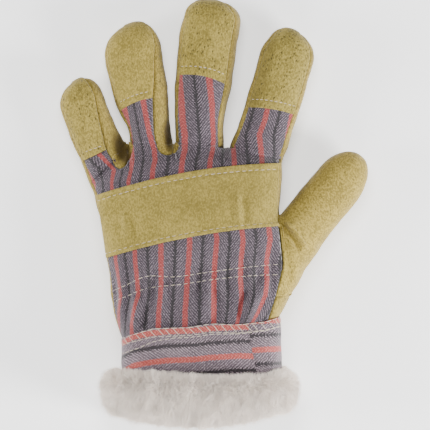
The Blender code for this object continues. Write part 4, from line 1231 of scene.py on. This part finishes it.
strand_finish, tree, shader = new_material("white_pile", 1.0, sheen=0.35, sheen_rough=0.5)
here = put(tree, "TexCoord").outputs["Object"]
patch = noise(tree, here, 60.0, 2.0, 0.5)
colour = tint(tree, ramp(tree, patch, 0.32, 0.68), (0.77, 0.695, 0.62), (0.87, 0.79, 0.71))
tree.links.new(colour, shader.inputs["Base Color"])

steps = np.linspace(0, len(COLLAR_SECTION) - 1, 45)
section = curve(steps, np.arange(len(COLLAR_SECTION)), COLLAR_SECTION)
section[:, :2] = np.maximum(section[:, :2], 0.0)
closing = np.array([(0.0, 0.3, 2.4), (0.0, 0.3, 0.0), (12.0, 0.0, 0.0), (24.9, 0.0, 0.0)])
even = np.linspace(0, 1, 321)
turned_out = collar_sides(section, even, fine)
around = (turned_out[..., 1] + turned_out[..., 2]) * 0.7
lumps = 1.1 * wander(turned_out[..., 0] * 1.2, around, 16, 91)
lumps = lumps + 0.35 * wander(turned_out[..., 0] * 1.3, around, 6, 92)
level = np.gradient(turned_out, axis=1)
rise_up = np.gradient(turned_out, axis=0)
square_out = np.cross(level, rise_up)
square_out /= np.maximum(np.linalg.norm(square_out, axis=-1), 1e-9)[..., None]
loose = smooth((steps - 2.5) / 2.0) * smooth((11.0 - steps) / 1.5)
turned_out = turned_out + square_out * (lumps * loose[:, None])[..., None]
turned_out[..., 2] = np.maximum(turned_out[..., 2], 0.3)
turned_out[:, -1] = turned_out[:, 0]
back_in = collar_sides(closing, even, fine)
back_in[:, -1] = back_in[:, 0]
whole = np.concatenate([turned_out, back_in, turned_out[:1]])
backing_points, backing_corners, _ = join([lay_out(whole, turn=True)])
backing = make_object("pile_backing", backing_points, backing_corners, fleece)
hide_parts("pile_lining")


def pile_strands(seed, count, low, high, long, width):
    """Strands on the turned-out lining between two rows of its section. Roots fall evenly over its area.
    A strand leans from square to the skin towards the way it is combed, bends over along its length, and
    draws in to the nearest of many tufts. It is a flat ribbon that narrows to its tip and faces away from
    the skin."""
    rng = np.random.default_rng(seed)
    first, last = np.searchsorted(steps, [low, high])
    part = turned_out[first:last]
    facing = square_out[first:last]
    reach = np.linalg.norm(np.diff(part, axis=0), axis=-1).mean(axis=1)
    done = np.append(0.0, np.cumsum(reach))
    row = np.interp(rng.uniform(0, done[-1], count), done, np.arange(len(part)))
    col = rng.uniform(0, len(even) - 1.001, count)
    near_row, near_col = np.minimum(row.astype(int), len(part) - 2), col.astype(int)
    a, b = (row - near_row)[:, None], (col - near_col)[:, None]

    def blend(grid):
        lower = grid[near_row, near_col] * (1 - b) + grid[near_row, near_col + 1] * b
        upper = grid[near_row + 1, near_col] * (1 - b) + grid[near_row + 1, near_col + 1] * b
        return lower * (1 - a) + upper * a

    root, out = blend(part), blend(facing)
    out /= np.linalg.norm(out, axis=1)[:, None]
    at = np.interp(row, np.arange(len(part)), steps[first:last])
    along = blend(np.gradient(part, axis=0))
    along /= np.linalg.norm(along, axis=1)[:, None]
    combed = along * np.where(at < 5.2, 1.0, -0.9)[:, None]
    upward = smooth((at - 7.4 + rng.normal(0, 0.5, count)) / 2.6)[:, None]
    combed = combed * (1 - upward) + np.array([0.0, 0.9, 0.0]) * upward
    x, y = root[:, 0], root[:, 1] + root[:, 2]
    sway = [wander(x, y, 9, seed + 1), 0.5 * wander(x, y, 12, seed + 2), wander(x, y, 10, seed + 3)]
    sway = np.stack(sway, axis=1)
    lean = out * 0.60 + combed * 0.55 + sway * 0.24 + rng.normal(0, 0.20, (count, 3))
    lean /= np.linalg.norm(lean, axis=1)[:, None]
    size = long * rng.uniform(0.65, 1.1, count) * (1 + 0.18 * wander(x, y, 8, seed + 4))
    size = size * (0.40 + 0.60 * smooth((10.0 - at) / 1.8))
    tuft = rng.choice(count, count // 24, replace=False)
    nearest = []
    for piece in np.array_split(root, count // 3000 + 1):
        nearest.append(((root[tuft] ** 2).sum(axis=1) - 2 * piece @ root[tuft].T).argmin(axis=1))
    nearest = tuft[np.concatenate(nearest)]
    end = root + lean * size[:, None]
    gather = root[nearest] + lean[nearest] * size[nearest][:, None]
    tip = end * 0.76 + gather * 0.24
    share = np.array([0.0, 0.34, 0.68, 1.0])
    bend = (root + out * size[:, None] * 0.5)[:, None]
    t = share[:, None]
    middle = root[:, None] * (1 - t) ** 2 + 2 * bend * t * (1 - t) + tip[:, None] * t**2
    middle = middle + rng.normal(0, 0.14, (count, 4, 3)) * t
    middle[..., 2] = np.maximum(middle[..., 2], 0.15)
    flat = np.cross(tip - root, out + rng.normal(0, 0.25, out.shape))
    flat /= np.maximum(np.linalg.norm(flat, axis=1), 1e-9)[:, None]
    half = width / 2 * np.array([1.0, 0.9, 0.62, 0.12])
    pair = np.stack([middle - flat[:, None] * half[:, None], middle + flat[:, None] * half[:, None]], axis=2)
    number = np.arange(count * 8).reshape(count, 4, 2)
    low, high = number[:, :-1], number[:, 1:]
    square = np.stack([low[..., 0], low[..., 1], high[..., 1], high[..., 0]], axis=-1).reshape(-1, 4)
    return pair.reshape(-1, 3), np.concatenate([square[:, [0, 1, 2]], square[:, [0, 2, 3]]])


thin = 1.0
for name, seed, count, low, high, long, width in (
    ("pile_inner", 101, 14000, 1.6, 5.4, 6.0, 0.33),
    ("pile_outer", 102, 31000, 4.6, 11.0, 8.0, 0.24),
    ("pile_outer_fine", 103, 31000, 4.6, 11.0, 8.6, 0.18),
):
    points, corners = pile_strands(seed, int(count * thin), low, high, long, width / thin**0.5)
    strands = make_object(name, points, corners, strand_finish)

# Floor, light and camera
# A plain pale table, wide soft lights on both sides and below the cuff, and a camera straight above, as in
# the photograph, far enough away to show the glove almost without perspective.

mesh = bpy.data.meshes.new("table")
mesh.from_pydata([(-3, -3, -0.0002), (3, -3, -0.0002), (3, 3, -0.0002), (-3, 3, -0.0002)], [], [(0, 1, 2, 3)])
table = bpy.data.objects.new("table", mesh)
bpy.context.scene.collection.objects.link(table)
pale_table, tree, shader = new_material("pale_table", 0.9)
here = put(tree, "TexCoord").outputs["Object"]
colour = tint(tree, noise(tree, here, 3.0), (0.90, 0.90, 0.90), (0.93, 0.93, 0.93))
tree.links.new(colour, shader.inputs["Base Color"])
shader.inputs["Emission Color"].default_value = (1.0, 1.0, 1.0, 1.0)
shader.inputs["Emission Strength"].default_value = 0.8
mesh.materials.append(pale_table)

for name, place, size, power in (
    ("light_left", (-0.95, -0.10, 0.32), 0.42, 15.5),
    ("light_right", (0.88, -0.42, 0.36), 0.42, 31.0),
    ("light_below", (0.10, -1.00, 0.60), 0.6, 5.0),
    ("light_over", (-0.1, 0.60, 1.45), 0.8, 24.0),
):
    lamp = bpy.data.lights.new(name, "AREA")
    lamp.shape = "DISK"
    lamp.size = size
    lamp.energy = power
    stand = bpy.data.objects.new(name, lamp)
    stand.location = place
    stand.rotation_mode = "QUATERNION"
    stand.rotation_quaternion = (-Vector(place)).to_track_quat("-Z", "Y")
    bpy.context.scene.collection.objects.link(stand)

world = bpy.data.worlds.new("studio")
world.use_nodes = True
world.node_tree.nodes["Background"].inputs[0].default_value = (1.0, 1.0, 1.0, 1.0)
world.node_tree.nodes["Background"].inputs[1].default_value = 0.06
bpy.context.scene.world = world

DISTANCE = 5.0
VIEW_WIDTH = 0.27305
lens = bpy.data.cameras.new("camera")
lens.lens = lens.sensor_width * DISTANCE / VIEW_WIDTH
lens.clip_start = 0.1
lens.clip_end = 20.0
camera = bpy.data.objects.new("camera", lens)
camera.location = (0.00049, -0.00071, DISTANCE + 0.016)
bpy.context.scene.collection.objects.link(camera)
bpy.context.scene.camera = camera
